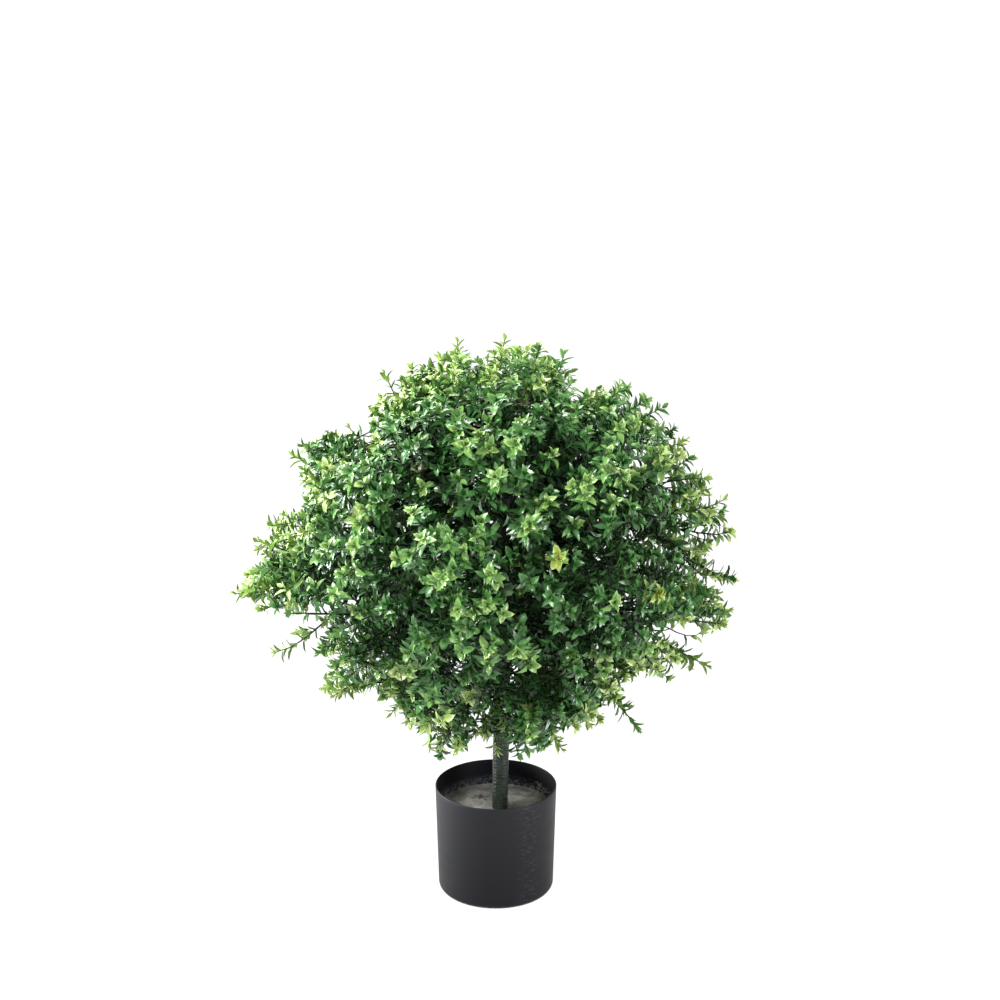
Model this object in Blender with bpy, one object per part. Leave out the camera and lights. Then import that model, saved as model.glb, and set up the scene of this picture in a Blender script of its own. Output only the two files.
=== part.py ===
# Artificial ball topiary: a clad trunk set in a cement-filled nursery pot, under a round crown of leaves.
# Units are metres, +Z is up and the front faces -Y. The origin is the middle of the pot's flat underside.
import math

import bmesh
import bpy
import numpy as np

# Touching pieces keep this gap
SEAT_GAP = 0.0003
UP = np.array([0.0, 0.0, 1.0])

# Pot: a thin turned shell with a rounded foot, and the cement that fills it
POT_HEIGHT = 0.117
POT_RIM_RADIUS = 0.0637
POT_FOOT_RADIUS = 0.0608
POT_FOOT_ROUND = 0.0072
POT_WALL = 0.0016
POT_FLOOR = 0.0024
POT_SEGMENTS = 36
FOOT_ROUND_STEPS = 3
FILL_LEVEL = 0.089

# Trunk: a round clad stem that leans a little to the right, from the fill to its tip inside the crown
TRUNK_FOOT_X = 0.0041
TRUNK_LEAN = 0.0176
TRUNK_FOOT_RADIUS = 0.0083
TRUNK_CROWN_RADIUS = 0.0088
TRUNK_TIP_RADIUS = 0.0066
TRUNK_WIDEST_HEIGHT = 0.200
TRUNK_TIP_HEIGHT = 0.432
TRUNK_SIDES = 16

# Crown: its centre, and the angle from which its front outline is seen
CROWN_CENTRE = np.array([-0.011, 0.0, 0.379])
SIGHT_ANGLE = math.radians(18.4)
TO_VIEWER = np.array([0.0, -math.cos(SIGHT_ANGLE), math.sin(SIGHT_ANGLE)])
UP_IN_VIEW = np.array([0.0, math.sin(SIGHT_ANGLE), math.cos(SIGHT_ANGLE)])
RIGHT_IN_VIEW = np.array([1.0, 0.0, 0.0])

# Sprigs that make the front outline: the clock angle in degrees from the right side, and the reach of the tip
TUFTS = (
    (12, 0.253),
    (28, 0.238),
    (50, 0.221),
    (68, 0.219),
    (84, 0.219),
    (98, 0.217),
    (120, 0.211),
    (138, 0.190),
    (154, 0.223),
    (178, 0.237),
    (190, 0.263),
    (206, 0.243),
    (224, 0.221),
    (240, 0.200),
    (256, 0.218),
    (274, 0.214),
    (292, 0.224),
    (310, 0.248),
    (332, 0.262),
    (346, 0.262),
)
BETWEEN_TUFTS = 0.955
FRONT_REACH = 0.222

# Foliage masses in rings round the crown: name, elevation and first azimuth in degrees, how many,
# and the height above the crown's centre at which the ring's boughs leave the trunk
MASS_RINGS = (
    ("top", 90, 0, 1, None),
    ("upper", 52, 18, 5, 0.036),
    ("shoulder", 17, 0, 7, 0.008),
    ("flank", -17, 26, 7, -0.022),
    ("lower", -52, 54, 5, -0.052),
)

# Boughs: tapering limbs from the trunk to where a mass begins
BOUGH_END_SHARE = 0.36
BOUGH_ROOT_RADIUS = 0.0032
BOUGH_TIP_RADIUS = 0.0022
BOUGH_SIDES = 5
BOUGH_STEPS = 4
BOUGH_EASE = 0.020

# Masses: a stem, twigs that leave it and a small dense core, within a cell that the mass keeps to
CELL_MARGIN = 0.0006
STEM_END_SHARE = 0.66
STEM_TIP_RADIUS = 0.0016
CORE_CENTRE_SHARE = 0.56
CORE_HALF_WIDTH = 0.062
CORE_HALF_DEPTH = 0.024
CORE_MARGIN_SHARE = 0.93
CORE_ROUGHNESS = 0.16
CORE_CLEARANCE = 0.006
TWIGS = 5
TWIG_SPREAD = math.radians(24)
TWIG_ROOT_RADIUS = 0.0022
TWIG_TIP_RADIUS = 0.0013
TWIG_EASE = 0.011
TWIG_STEPS = 2
TWIG_SIDES = 3
FIRST_TWIG_SHARE = 0.52
TWIG_SHARE_STEP = 0.08
TARGET_MARGIN = 0.016
TUFT_MARGIN = 0.011
TARGET_SPACING = 0.042
GOLDEN_TURN = math.pi * (3 - math.sqrt(5))
SEED = 7

# Leaves: crossed pairs at these shares of a twig, and one at its end
LEAF_NODES = (0.60, 0.90)
LEAF_LENGTH = 0.050
END_LEAF_LENGTH = 0.036
LEAF_WIDTH_SHARE = 0.46
LEAF_FOLD_SHARE = 0.05
LEAF_KEEL_SHARE = 0.03
LEAF_WIDEST_SHARE = 0.42
LEAF_ANGLE = math.radians(52)
LEAF_SUNK = 0.0004
LEAF_TURNS_TRIED = 8
LIMB_CLEARANCE = 0.003


def clear_scene():
    for obj in list(bpy.data.objects):
        bpy.data.objects.remove(obj, do_unlink=True)


def unit(vector):
    return vector / np.linalg.norm(vector)


def linear(channel):
    return channel / 12.92 if channel <= 0.04045 else ((channel + 0.055) / 1.055) ** 2.4


def make_material(name, colour, roughness, metallic=0.0):
    material = bpy.data.materials.new(name)
    material.use_nodes = True
    shader = material.node_tree.nodes["Principled BSDF"]
    channels = [linear(int(colour[start : start + 2], 16) / 255) for start in (1, 3, 5)]
    shader.inputs["Base Color"].default_value = (*channels, 1.0)
    shader.inputs["Roughness"].default_value = roughness
    shader.inputs["Metallic"].default_value = metallic
    material.diffuse_color = (*channels, 1.0)
    return material


def add_object(name, vertices, faces, material=None, smooth_angle=None, collection=None):
    mesh = bpy.data.meshes.new(name)
    mesh.from_pydata([tuple(float(value) for value in vertex) for vertex in vertices], [], faces)
    mesh.update()
    if material:
        mesh.materials.append(material)
    if smooth_angle:
        mesh.shade_smooth()
        mesh.set_sharp_from_angle(angle=smooth_angle)
    obj = bpy.data.objects.new(name, mesh)
    (collection or bpy.context.scene.collection).objects.link(obj)
    return obj


# A profile of (radius, height) points turned about the vertical axis, on which it starts and ends
def turned(profile, segments):
    turns = np.arange(segments) * 2 * math.pi / segments
    vertices = [(0.0, 0.0, profile[0][1])]
    for radius, height in profile[1:-1]:
        vertices += [(radius * math.cos(turn), radius * math.sin(turn), height) for turn in turns]
    vertices.append((0.0, 0.0, profile[-1][1]))
    rings = len(profile) - 2
    last = len(vertices) - 1
    faces = []
    for step in range(segments):
        after = (step + 1) % segments
        faces.append((0, 1 + after, 1 + step))
        for ring in range(rings - 1):
            low, high = 1 + ring * segments, 1 + (ring + 1) * segments
            faces.append((low + step, low + after, high + after, high + step))
        top = 1 + (rings - 1) * segments
        faces.append((top + step, top + after, last))
    return vertices, faces


# A closed skin over rings of as many points each, with flat ends or drawn to a tip point
def loft(rings, tip=None):
    sides = len(rings[0])
    vertices = [point for ring in rings for point in ring]
    faces = [tuple(reversed(range(sides)))]
    for ring in range(len(rings) - 1):
        low, high = ring * sides, (ring + 1) * sides
        for step in range(sides):
            after = (step + 1) % sides
            faces.append((low + step, low + after, high + after, high + step))
    last = (len(rings) - 1) * sides
    if tip is None:
        faces.append(tuple(range(last, last + sides)))
    else:
        faces += [(last + step, last + (step + 1) % sides, len(vertices)) for step in range(sides)]
        vertices.append(tip)
    return vertices, faces


# Rings of points round a path, square to it or, at its ends, to the directions given
def rings_along(points, radii, sides, leave=None, arrive=None):
    points = np.asarray(points, float)
    tangents = np.gradient(points, axis=0)
    tangents[0] = tangents[0] if leave is None else leave
    tangents[-1] = tangents[-1] if arrive is None else arrive
    across = unit(np.cross(tangents[0], [0.31, 0.57, 0.76]))
    turns = math.pi / 6 + np.arange(sides) * 2 * math.pi / sides
    rings = []
    for point, tangent, radius in zip(points, tangents, radii):
        tangent = unit(tangent)
        across = unit(across - tangent * (across @ tangent))
        facing = np.cross(tangent, across)
        spokes = [math.cos(turn) * across + math.sin(turn) * facing for turn in turns]
        rings.append([point + radius * spoke for spoke in spokes])
    return rings, across, facing


def tube(points, radii, sides, leave=None, arrive=None):
    return loft(rings_along(points, radii, sides, leave, arrive)[0])


# Left, right and keel points of a folded leaf where it is widest
def leaf_section(root, along, across, facing, length):
    middle = root + along * length * LEAF_WIDEST_SHARE
    side = across * length * LEAF_WIDTH_SHARE / 2
    fold = facing * length * LEAF_FOLD_SHARE
    return [middle + side + fold, middle - side + fold, middle - facing * length * LEAF_KEEL_SHARE]


# A leaf of six faces, folded along its midrib and keeled below it, with its root sunk in the twig
def leaf(root, along, facing, length):
    facing = unit(facing - along * (facing @ along))
    across = np.cross(along, facing)
    left, right, keel = leaf_section(root, along, across, facing, length)
    vertices = [root - along * LEAF_SUNK, left, root + along * length, right, keel]
    faces = [(0, 1, 2), (0, 2, 3), (0, 4, 1), (1, 4, 2), (2, 4, 3), (3, 4, 0)]
    return vertices, faces


# A three-sided twig that widens at its end into a leaf
def twig_with_leaf(path, tip):
    radii = np.linspace(TWIG_ROOT_RADIUS, TWIG_TIP_RADIUS, len(path))
    length = np.linalg.norm(tip - path[-1])
    along = (tip - path[-1]) / length
    rings, across, facing = rings_along(path, radii, TWIG_SIDES, arrive=along)
    rings.append(leaf_section(path[-1], along, across, facing, length))
    return loft(rings, tip)


# Points along the curve that starts toward one middle point and arrives from the other
def curve_points(start, leave, arrive, end, steps):
    shares = np.linspace(0, 1, steps + 1)[:, None]
    rest = 1 - shares
    return rest**3 * start + 3 * rest**2 * shares * leave + 3 * rest * shares**2 * arrive + shares**3 * end


def trunk_centre(height):
    return np.array([TRUNK_FOOT_X + TRUNK_LEAN * (height - FILL_LEVEL), 0.0, height])


def trunk_path():
    return np.array([trunk_centre(FILL_LEVEL), trunk_centre(TRUNK_TIP_HEIGHT)])


def trunk_radius(height):
    heights = (FILL_LEVEL, TRUNK_WIDEST_HEIGHT, TRUNK_TIP_HEIGHT)
    return float(np.interp(height, heights, (TRUNK_FOOT_RADIUS, TRUNK_CROWN_RADIUS, TRUNK_TIP_RADIUS)))


def direction_of(elevation, azimuth):
    elevation, azimuth = math.radians(elevation), math.radians(azimuth)
    flat = math.cos(elevation)
    return np.array([flat * math.cos(azimuth), flat * math.sin(azimuth), math.sin(elevation)])


def tuft_direction(clock):
    return math.cos(math.radians(clock)) * RIGHT_IN_VIEW + math.sin(math.radians(clock)) * UP_IN_VIEW


# How far the crown's ordinary sprigs reach: the front outline, eased to one depth at the front and back
def crown_reach(direction):
    clock = math.degrees(math.atan2(direction @ UP_IN_VIEW, direction @ RIGHT_IN_VIEW))
    clocks, reaches = zip(*TUFTS)
    outline = BETWEEN_TUFTS * float(np.interp(clock, clocks, reaches, period=360))
    return outline + (FRONT_REACH - outline) * (direction @ TO_VIEWER) ** 2


class Mass:
    def __init__(self, name, direction, bough_height):
        self.name = name
        self.direction = direction
        self.bough_height = bough_height
        self.reach = crown_reach(direction)
        self.stem_root = CROWN_CENTRE + direction * self.reach * BOUGH_END_SHARE
        self.planes = []


# Each mass keeps to the directions nearer to its own than to any other's, so its cell is bounded by planes
def lay_out_masses():
    masses = []
    for ring, elevation, first, count, bough_height in MASS_RINGS:
        for index in range(count):
            name = ring if count == 1 else f"{ring}_{index + 1}"
            direction = direction_of(elevation, first + index * 360 / count)
            masses.append(Mass(name, direction, bough_height))
    for mass in masses:
        mass.planes = [unit(mass.direction - other.direction) for other in masses if other is not mass]
    return masses


def depth_in_cell(mass, points):
    offsets = np.atleast_2d(points) - CROWN_CENTRE
    return (offsets @ np.array(mass.planes).T).min()


def distance_to_path(points, path):
    starts, ends = path[:-1], path[1:]
    spans = ends - starts
    offsets = points[:, None, :] - starts
    shares = np.clip((offsets * spans).sum(2) / (spans * spans).sum(1), 0, 1)
    return np.linalg.norm(offsets - shares[:, :, None] * spans, axis=2).min()


def fits(mass, points, limbs):
    points = np.asarray(points, float)
    middles = (points[:, None, :] + points[None, :, :]).reshape(-1, 3) / 2
    if depth_in_cell(mass, points) < CELL_MARGIN:
        return False
    return all(distance_to_path(middles, path) > radius + LIMB_CLEARANCE for path, radius in limbs)


def bough_outward(mass):
    return UP if mass.bough_height is None else unit(mass.direction * (1, 1, 0))


def bough_path(mass):
    end = mass.stem_root - mass.direction * SEAT_GAP
    outward = bough_outward(mass)
    if mass.bough_height is None:
        start = trunk_centre(TRUNK_TIP_HEIGHT) + outward * SEAT_GAP
    else:
        height = CROWN_CENTRE[2] + mass.bough_height
        start = trunk_centre(height) + outward * (trunk_radius(height) + SEAT_GAP)
    leave = start + outward * BOUGH_EASE
    arrive = end - mass.direction * BOUGH_EASE
    return curve_points(start, leave, arrive, end, BOUGH_STEPS)


# The rounded foot of a turned profile, from its flat bottom out to its wall
def foot_round(width, bottom, height):
    turns = np.linspace(0, math.pi / 2, FOOT_ROUND_STEPS + 1)
    start = POT_FOOT_RADIUS - POT_FOOT_ROUND
    return [(start + width * math.sin(turn), bottom + height * (1 - math.cos(turn))) for turn in turns]


def build_pot(plastic, cement):
    inner_round = POT_FOOT_ROUND - POT_WALL
    outer = foot_round(POT_FOOT_ROUND, 0, POT_FOOT_ROUND)
    inner = foot_round(inner_round, POT_FLOOR, inner_round)
    edge = POT_WALL / 4
    rim = [
        (POT_RIM_RADIUS, POT_HEIGHT - edge),
        (POT_RIM_RADIUS - edge, POT_HEIGHT),
        (POT_RIM_RADIUS - POT_WALL + edge, POT_HEIGHT),
        (POT_RIM_RADIUS - POT_WALL, POT_HEIGHT - edge),
    ]
    profile = [(0, 0), *outer, *rim, *reversed(inner), (0, POT_FLOOR)]
    add_object("pot", *turned(profile, POT_SEGMENTS), plastic, math.radians(35))

    bottom = POT_FLOOR + SEAT_GAP
    slope = (POT_RIM_RADIUS - POT_FOOT_RADIUS) / (POT_HEIGHT - POT_FOOT_ROUND)
    top_radius = POT_FOOT_RADIUS - POT_WALL + slope * (FILL_LEVEL - POT_FOOT_ROUND) - 2 * SEAT_GAP
    lower = foot_round(inner_round - 2 * SEAT_GAP, bottom, inner_round)
    fill_top = FILL_LEVEL - SEAT_GAP
    profile = [(0, bottom), *lower, (top_radius, fill_top), (0, fill_top)]
    add_object("cement_fill", *turned(profile, POT_SEGMENTS), cement, math.radians(35))


def build_trunk(bark):
    turns = np.arange(TRUNK_SIDES) * 2 * math.pi / TRUNK_SIDES
    spokes = np.stack([np.cos(turns), np.sin(turns), 0 * turns], axis=1)
    below = np.linspace(FILL_LEVEL, TRUNK_WIDEST_HEIGHT, 4)
    above = np.linspace(TRUNK_WIDEST_HEIGHT, TRUNK_TIP_HEIGHT, 4)[1:]
    rings = [trunk_centre(height) + trunk_radius(height) * spokes for height in (*below, *above)]
    add_object("trunk", *loft(rings), bark, math.radians(40))


def build_bough(mass, path, bark):
    radii = np.linspace(BOUGH_ROOT_RADIUS, BOUGH_TIP_RADIUS, len(path))
    limb = tube(path, radii, BOUGH_SIDES, bough_outward(mass), mass.direction)
    add_object(f"bough_{mass.name}", *limb, bark, math.radians(40))


# Leans a direction toward the mass's own until its far end lies well inside the cell
def leaned_in(mass, direction, reach, margin):
    while depth_in_cell(mass, CROWN_CENTRE + direction * reach) < margin:
        direction = unit(direction + 0.05 * mass.direction)
    return direction


# Where a mass's twigs end: at its own outline tufts, then spread over its cell like a sunflower's seeds
def twig_targets(mass, masses, random):
    targets = []
    for clock, reach in TUFTS:
        direction = tuft_direction(clock)
        if mass is max(masses, key=lambda other: other.direction @ direction):
            targets.append(leaned_in(mass, direction, reach, TUFT_MARGIN) * reach)
    side = unit(np.cross(mass.direction, [0.2, 0.3, 0.9]))
    other = np.cross(mass.direction, side)
    first_turn = random.uniform(0, 2 * math.pi)
    for index in range(TWIGS):
        lean = TWIG_SPREAD * math.sqrt((index + 0.5) / TWIGS)
        turn = first_turn + index * GOLDEN_TURN
        across = math.cos(turn) * side + math.sin(turn) * other
        direction = math.cos(lean) * mass.direction + math.sin(lean) * across
        direction = leaned_in(mass, direction, crown_reach(direction), TARGET_MARGIN)
        target = direction * crown_reach(direction) * random.uniform(0.95, 1.0)
        if all(np.linalg.norm(target - tuft) > TARGET_SPACING for tuft in targets):
            targets.append(target)
    return [CROWN_CENTRE + target for target in targets]


# A lens-shaped rough lump, cut back from the cell's walls and from the trunk
def core_solid(mass, random):
    centre = CROWN_CENTRE + mass.direction * mass.reach * CORE_CENTRE_SHARE
    planes = np.array(mass.planes)
    depths = planes @ (centre - CROWN_CENTRE)
    clear = TRUNK_CROWN_RADIUS + CORE_CLEARANCE
    ball = bmesh.new()
    bmesh.ops.create_icosphere(ball, subdivisions=2, radius=1)
    vertices = []
    for vertex in ball.verts:
        direction = np.array(vertex.co)
        closing = np.maximum(-(planes @ direction), 1e-6)
        room = (depths / closing).min()
        along = direction @ mass.direction
        size = 1 / math.sqrt((along / CORE_HALF_DEPTH) ** 2 + (1 - along**2) / CORE_HALF_WIDTH**2)
        size = min(size * random.uniform(1 - CORE_ROUGHNESS, 1), room * CORE_MARGIN_SHARE)
        while distance_to_path((centre + direction * size)[None], trunk_path()) < clear:
            size *= 0.9
        vertices.append(centre + direction * size)
    faces = [tuple(vertex.index for vertex in face.verts) for face in ball.faces]
    ball.free()
    return vertices, faces


# The crossed pairs of leaves on a twig
def leaves_on(path, first_turn, random):
    shares = np.linspace(0, 1, len(path))
    made = []
    for node, share in enumerate(LEAF_NODES):
        point = np.array([np.interp(share, shares, path[:, axis]) for axis in range(3)])
        step = min(int(share * TWIG_STEPS), TWIG_STEPS - 1)
        tangent = unit(path[step + 1] - path[step])
        side = unit(np.cross(tangent, [0.4, 0.8, 0.45]))
        other = np.cross(tangent, side)
        for half in range(2):
            turn = first_turn + node * math.pi / 2 + half * math.pi
            outward = math.cos(turn) * side + math.sin(turn) * other
            along = math.cos(LEAF_ANGLE) * tangent + math.sin(LEAF_ANGLE) * outward
            made.append(leaf(point, along, tangent, LEAF_LENGTH * random.uniform(0.88, 1.05)))
    return made


# Keeps the outer skin of a joined mesh: sealed hollows are filled and loose scraps are dropped
def keep_outer_skin(mesh):
    joined = bmesh.new()
    joined.from_mesh(mesh)
    bmesh.ops.triangulate(joined, faces=joined.faces)
    unseen = set(joined.faces)
    skins = []
    while unseen:
        skin = {unseen.pop()}
        edge_of_skin = list(skin)
        while edge_of_skin:
            face = edge_of_skin.pop()
            for edge in face.edges:
                for neighbour in edge.link_faces:
                    if neighbour not in skin:
                        skin.add(neighbour)
                        edge_of_skin.append(neighbour)
        unseen -= skin
        skins.append(skin)
    largest = max(skins, key=lambda skin: sum(face.calc_area() for face in skin))
    extra = [face for skin in skins if skin is not largest for face in skin]
    bmesh.ops.delete(joined, geom=extra, context="FACES")
    joined.to_mesh(mesh)
    joined.free()


def join_solids(base, solids, name):
    others = bpy.data.collections.new(f"{name}_pieces")
    bpy.context.scene.collection.children.link(others)
    for index, (vertices, faces) in enumerate(solids):
        add_object(f"{name}_piece_{index}", vertices, faces, collection=others)
    union = base.modifiers.new("join", "BOOLEAN")
    union.operation = "UNION"
    union.operand_type = "COLLECTION"
    union.solver = "EXACT"
    union.use_self = False
    union.collection = others
    bpy.context.view_layer.update()
    evaluated = base.evaluated_get(bpy.context.evaluated_depsgraph_get())
    joined = bpy.data.meshes.new_from_object(evaluated)
    base.modifiers.clear()
    base.data = joined
    for obj in list(others.objects):
        bpy.data.objects.remove(obj, do_unlink=True)
    bpy.data.collections.remove(others)
    keep_outer_skin(joined)


# The curve of a twig from its place on the stem out to where its end leaf begins
def twig_path(mass, share, target):
    root = mass.stem_root + mass.direction * mass.reach * (STEM_END_SHARE - BOUGH_END_SHARE) * share
    outward = unit(target - CROWN_CENTRE)
    end = target - outward * END_LEAF_LENGTH
    leave = root + mass.direction * TWIG_EASE
    return curve_points(root, leave, end - outward * 2 * TWIG_EASE, end, TWIG_STEPS)


# The leaves of a twig that fit, turned about it as lets the most of them fit
def fitting_leaves(mass, path, limbs, random):
    first_turn = random.uniform(0, math.pi)
    tries = []
    for index in range(LEAF_TURNS_TRIED):
        blades = leaves_on(path, first_turn + index * math.pi / LEAF_TURNS_TRIED, random)
        tries.append([blade for blade in blades if fits(mass, blade[0], limbs)])
    return max(tries, key=len)


def build_mass(mass, masses, limbs, foliage, random):
    name = f"foliage_{mass.name}"
    stem_end = CROWN_CENTRE + mass.direction * mass.reach * STEM_END_SHARE
    stem = np.linspace(mass.stem_root, stem_end, 3)
    solids = [tube(stem, np.linspace(BOUGH_TIP_RADIUS, STEM_TIP_RADIUS, 3), BOUGH_SIDES)]
    leaf_count = 0
    for index, target in enumerate(twig_targets(mass, masses, random)):
        path = twig_path(mass, FIRST_TWIG_SHARE + TWIG_SHARE_STEP * index, target)
        twig = twig_with_leaf(path, target)
        if not fits(mass, twig[0], limbs):
            continue
        blades = fitting_leaves(mass, path, limbs, random)
        solids += [twig, *blades]
        leaf_count += len(blades) + 1
    base = add_object(name, *core_solid(mass, random), foliage)
    join_solids(base, solids, name)
    return leaf_count


def main():
    clear_scene()
    plastic = make_material("pot_plastic", "#343437", 0.55)
    cement = make_material("rough_cement", "#7d786e", 0.95)
    bark = make_material("trunk_cladding", "#3c4b41", 0.50)
    foliage = make_material("leaf_plastic", "#4e6a40", 0.42)
    random = np.random.default_rng(SEED)

    build_pot(plastic, cement)
    build_trunk(bark)
    masses = lay_out_masses()
    paths = [bough_path(mass) for mass in masses]
    limbs = [(trunk_path(), TRUNK_CROWN_RADIUS)]
    for mass, path in zip(masses, paths):
        build_bough(mass, path, bark)
        limbs.append((path[:-1], BOUGH_ROOT_RADIUS))
    leaves = sum(build_mass(mass, masses, limbs, foliage, random) for mass in masses)
    print(f"{len(masses)} masses, {leaves} leaves")


main()
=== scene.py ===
import math

import bpy
import mathutils
import numpy as np
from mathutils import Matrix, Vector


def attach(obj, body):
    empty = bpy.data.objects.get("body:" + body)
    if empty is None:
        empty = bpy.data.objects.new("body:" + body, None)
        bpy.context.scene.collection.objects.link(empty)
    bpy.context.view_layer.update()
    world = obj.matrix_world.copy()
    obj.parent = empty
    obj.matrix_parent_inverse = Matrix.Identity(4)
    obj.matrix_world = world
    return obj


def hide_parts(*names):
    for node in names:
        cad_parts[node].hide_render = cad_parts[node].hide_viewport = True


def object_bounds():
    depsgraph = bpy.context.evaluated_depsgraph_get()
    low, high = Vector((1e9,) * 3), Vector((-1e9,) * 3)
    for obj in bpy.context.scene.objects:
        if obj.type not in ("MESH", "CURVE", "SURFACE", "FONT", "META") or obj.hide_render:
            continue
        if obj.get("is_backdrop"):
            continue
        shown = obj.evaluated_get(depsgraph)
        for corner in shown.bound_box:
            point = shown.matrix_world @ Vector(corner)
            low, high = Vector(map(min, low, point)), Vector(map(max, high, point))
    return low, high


# Artificial ball topiary: moulded plastic sprigs on a sleeved trunk, in a cement-filled nursery pot.
# Metres, +Z up, the front faces -Y.

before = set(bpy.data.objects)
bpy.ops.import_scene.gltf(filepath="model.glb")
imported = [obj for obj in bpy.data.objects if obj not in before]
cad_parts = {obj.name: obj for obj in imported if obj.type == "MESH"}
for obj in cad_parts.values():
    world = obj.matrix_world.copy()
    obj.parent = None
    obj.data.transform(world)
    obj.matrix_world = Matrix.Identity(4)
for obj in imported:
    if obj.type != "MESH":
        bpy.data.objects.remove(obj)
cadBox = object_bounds()
goldenTurn = math.pi * (3 - math.sqrt(5))
print("frame loaded:", len(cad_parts), "nodes")


# small helpers

def unit(v):
    # each vector over its own length
    return v / np.maximum(np.linalg.norm(v, axis=-1, keepdims=True), 1e-12)


def turnsOf(count):
    # the angles of count even steps round a circle
    return np.arange(count) * 2 * math.pi / count


def swing(angle, first, second):
    # first x cos(angle) + second x sin(angle), for one angle or an array of them
    angle = np.asarray(angle)[..., None]
    return np.cos(angle) * first + np.sin(angle) * second


def squareTo(axis, away):
    # two ways square to the axis and to each other; away is any way that the axis doesn't lie along
    side = unit(np.cross(axis, away))
    return side, np.cross(axis, side)


def linearColour(hexColour):
    # sRGB hex to linear: the lower toe is a straight line, the rest a 2.4 power
    c = np.array([int(hexColour[i:i + 2], 16) / 255 for i in (1, 3, 5)])
    return (*np.where(c <= 0.04045, c / 12.92, ((c + 0.055) / 1.055) ** 2.4), 1.0)


def ripple(points, wavelength, seed, waves=9):
    # sum of plane waves in scattered directions, about -1 to 1, with crests about one wavelength apart
    rng = np.random.default_rng(seed)
    ways = unit(rng.normal(size=(waves, 3))) * rng.uniform(0.7, 1.5, (waves, 1)) * 2 * math.pi / wavelength
    return np.sin(points @ ways.T + rng.uniform(0, 2 * math.pi, waves)).sum(-1) / math.sqrt(waves * 2)


def meshFromTriangles(name, points, triangles, materials, slots=None, sharpAngle=None, recess=None):
    # edges sharper than sharpAngle, in degrees, stay sharp; recess is a value at each point, for the material
    mesh = bpy.data.meshes.new(name)
    count = len(triangles)
    mesh.vertices.add(len(points))
    mesh.vertices.foreach_set("co", np.asarray(points, np.float32).ravel())
    mesh.loops.add(count * 3)
    mesh.loops.foreach_set("vertex_index", np.asarray(triangles, np.int32).ravel())
    mesh.polygons.add(count)
    mesh.polygons.foreach_set("loop_start", np.arange(0, count * 3, 3, dtype=np.int32))
    mesh.polygons.foreach_set("loop_total", np.full(count, 3, np.int32))
    for material in materials:
        mesh.materials.append(material)
    if slots is not None:
        mesh.polygons.foreach_set("material_index", np.asarray(slots, np.int32))
    if recess is not None:
        values = mesh.attributes.new("recess", "FLOAT", "POINT").data
        values.foreach_set("value", np.asarray(recess, np.float32))
    mesh.update(calc_edges=True)
    mesh.validate()
    if sharpAngle:
        mesh.shade_smooth()
        mesh.set_sharp_from_angle(angle=math.radians(sharpAngle))
    piece = bpy.data.objects.new(name, mesh)
    bpy.context.scene.collection.objects.link(piece)
    return piece


def closedTriangles(rows, columns):
    # two triangles for each cell of a rows by columns grid whose last column joins the first, and a fan from
    # a pole at each end; the two poles come after the points of the grid
    r, c = np.meshgrid(np.arange(rows - 1), np.arange(columns), indexing="ij")
    a = r * columns + c
    b = r * columns + (c + 1) % columns
    ring = np.arange(columns)
    after = (ring + 1) % columns
    last = (rows - 1) * columns
    pole = np.full(columns, rows * columns)
    return np.concatenate([np.stack([a, b, b + columns], -1).reshape(-1, 3),
                           np.stack([a, b + columns, a + columns], -1).reshape(-1, 3),
                           np.stack([pole, after, ring], -1),
                           np.stack([ring + last, after + last, pole + 1], -1)])


def repeated(triangles, count, size):
    # the triangles of count like shapes in a row, each of size points
    return (triangles[None] + np.arange(count)[:, None, None] * size).reshape(-1, 3)


def turnedSkin(radii, heights, columns, relief=None):
    # point = (radius x cos turn, radius x sin turn, height), closed by a point on the axis at both ends
    r, t = np.meshgrid(radii, turnsOf(columns), indexing="ij")
    z = np.repeat(np.asarray(heights)[:, None], columns, 1)
    points = np.stack([r * np.cos(t), r * np.sin(t), z], -1)
    if relief is not None:
        points = relief(points)
    poles = np.stack([points[0].mean(0), points[-1].mean(0)])
    return np.concatenate([points.reshape(-1, 3), poles]), closedTriangles(len(radii), columns)


def bezier(controls, steps):
    # cubic curve through controls (n, 4, 3): (n, steps + 1, 3) points
    t = np.linspace(0, 1, steps + 1)[None, :, None]
    a, b, c, d = (controls[:, None, i] for i in range(4))
    return (1 - t) ** 3 * a + 3 * (1 - t) ** 2 * t * b + 3 * (1 - t) * t ** 2 * c + t ** 3 * d


def curveOf(start, leave, end, arrive):
    # controls of a curve that sets out along leave and comes in along arrive
    return np.array([start, start + leave, end - arrive, end])


def pointOnCurve(controls, share, steps=20):
    # the point at a share of the curve, to the nearest step
    return bezier(controls[None], steps)[0][int(round(share * steps))]


def tubesAlong(paths, radii, sides):
    # a closed round skin on each of n paths (n, m, 3): centre + radius (n, m) x a circle square to the path
    n, m, _ = paths.shape
    across, facing = squareTo(unit(np.gradient(paths, axis=1)), [0.31, 0.57, 0.76])
    spokes = swing(turnsOf(sides)[None, None], across[:, :, None], facing[:, :, None])
    rings = paths[:, :, None] + np.asarray(radii)[:, :, None, None] * spokes
    points = np.concatenate([rings.reshape(n, -1, 3), paths[:, [0, -1]]], 1)
    return points.reshape(-1, 3), repeated(closedTriangles(m, sides), n, m * sides + 2)


def linkInto(tree, node, links):
    # links are {socket: an output, or another node for its first output}
    for name, source in dict(links).items():
        tree.links.new(source.outputs[0] if hasattr(source, "outputs") else source, node.inputs[name])


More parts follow.
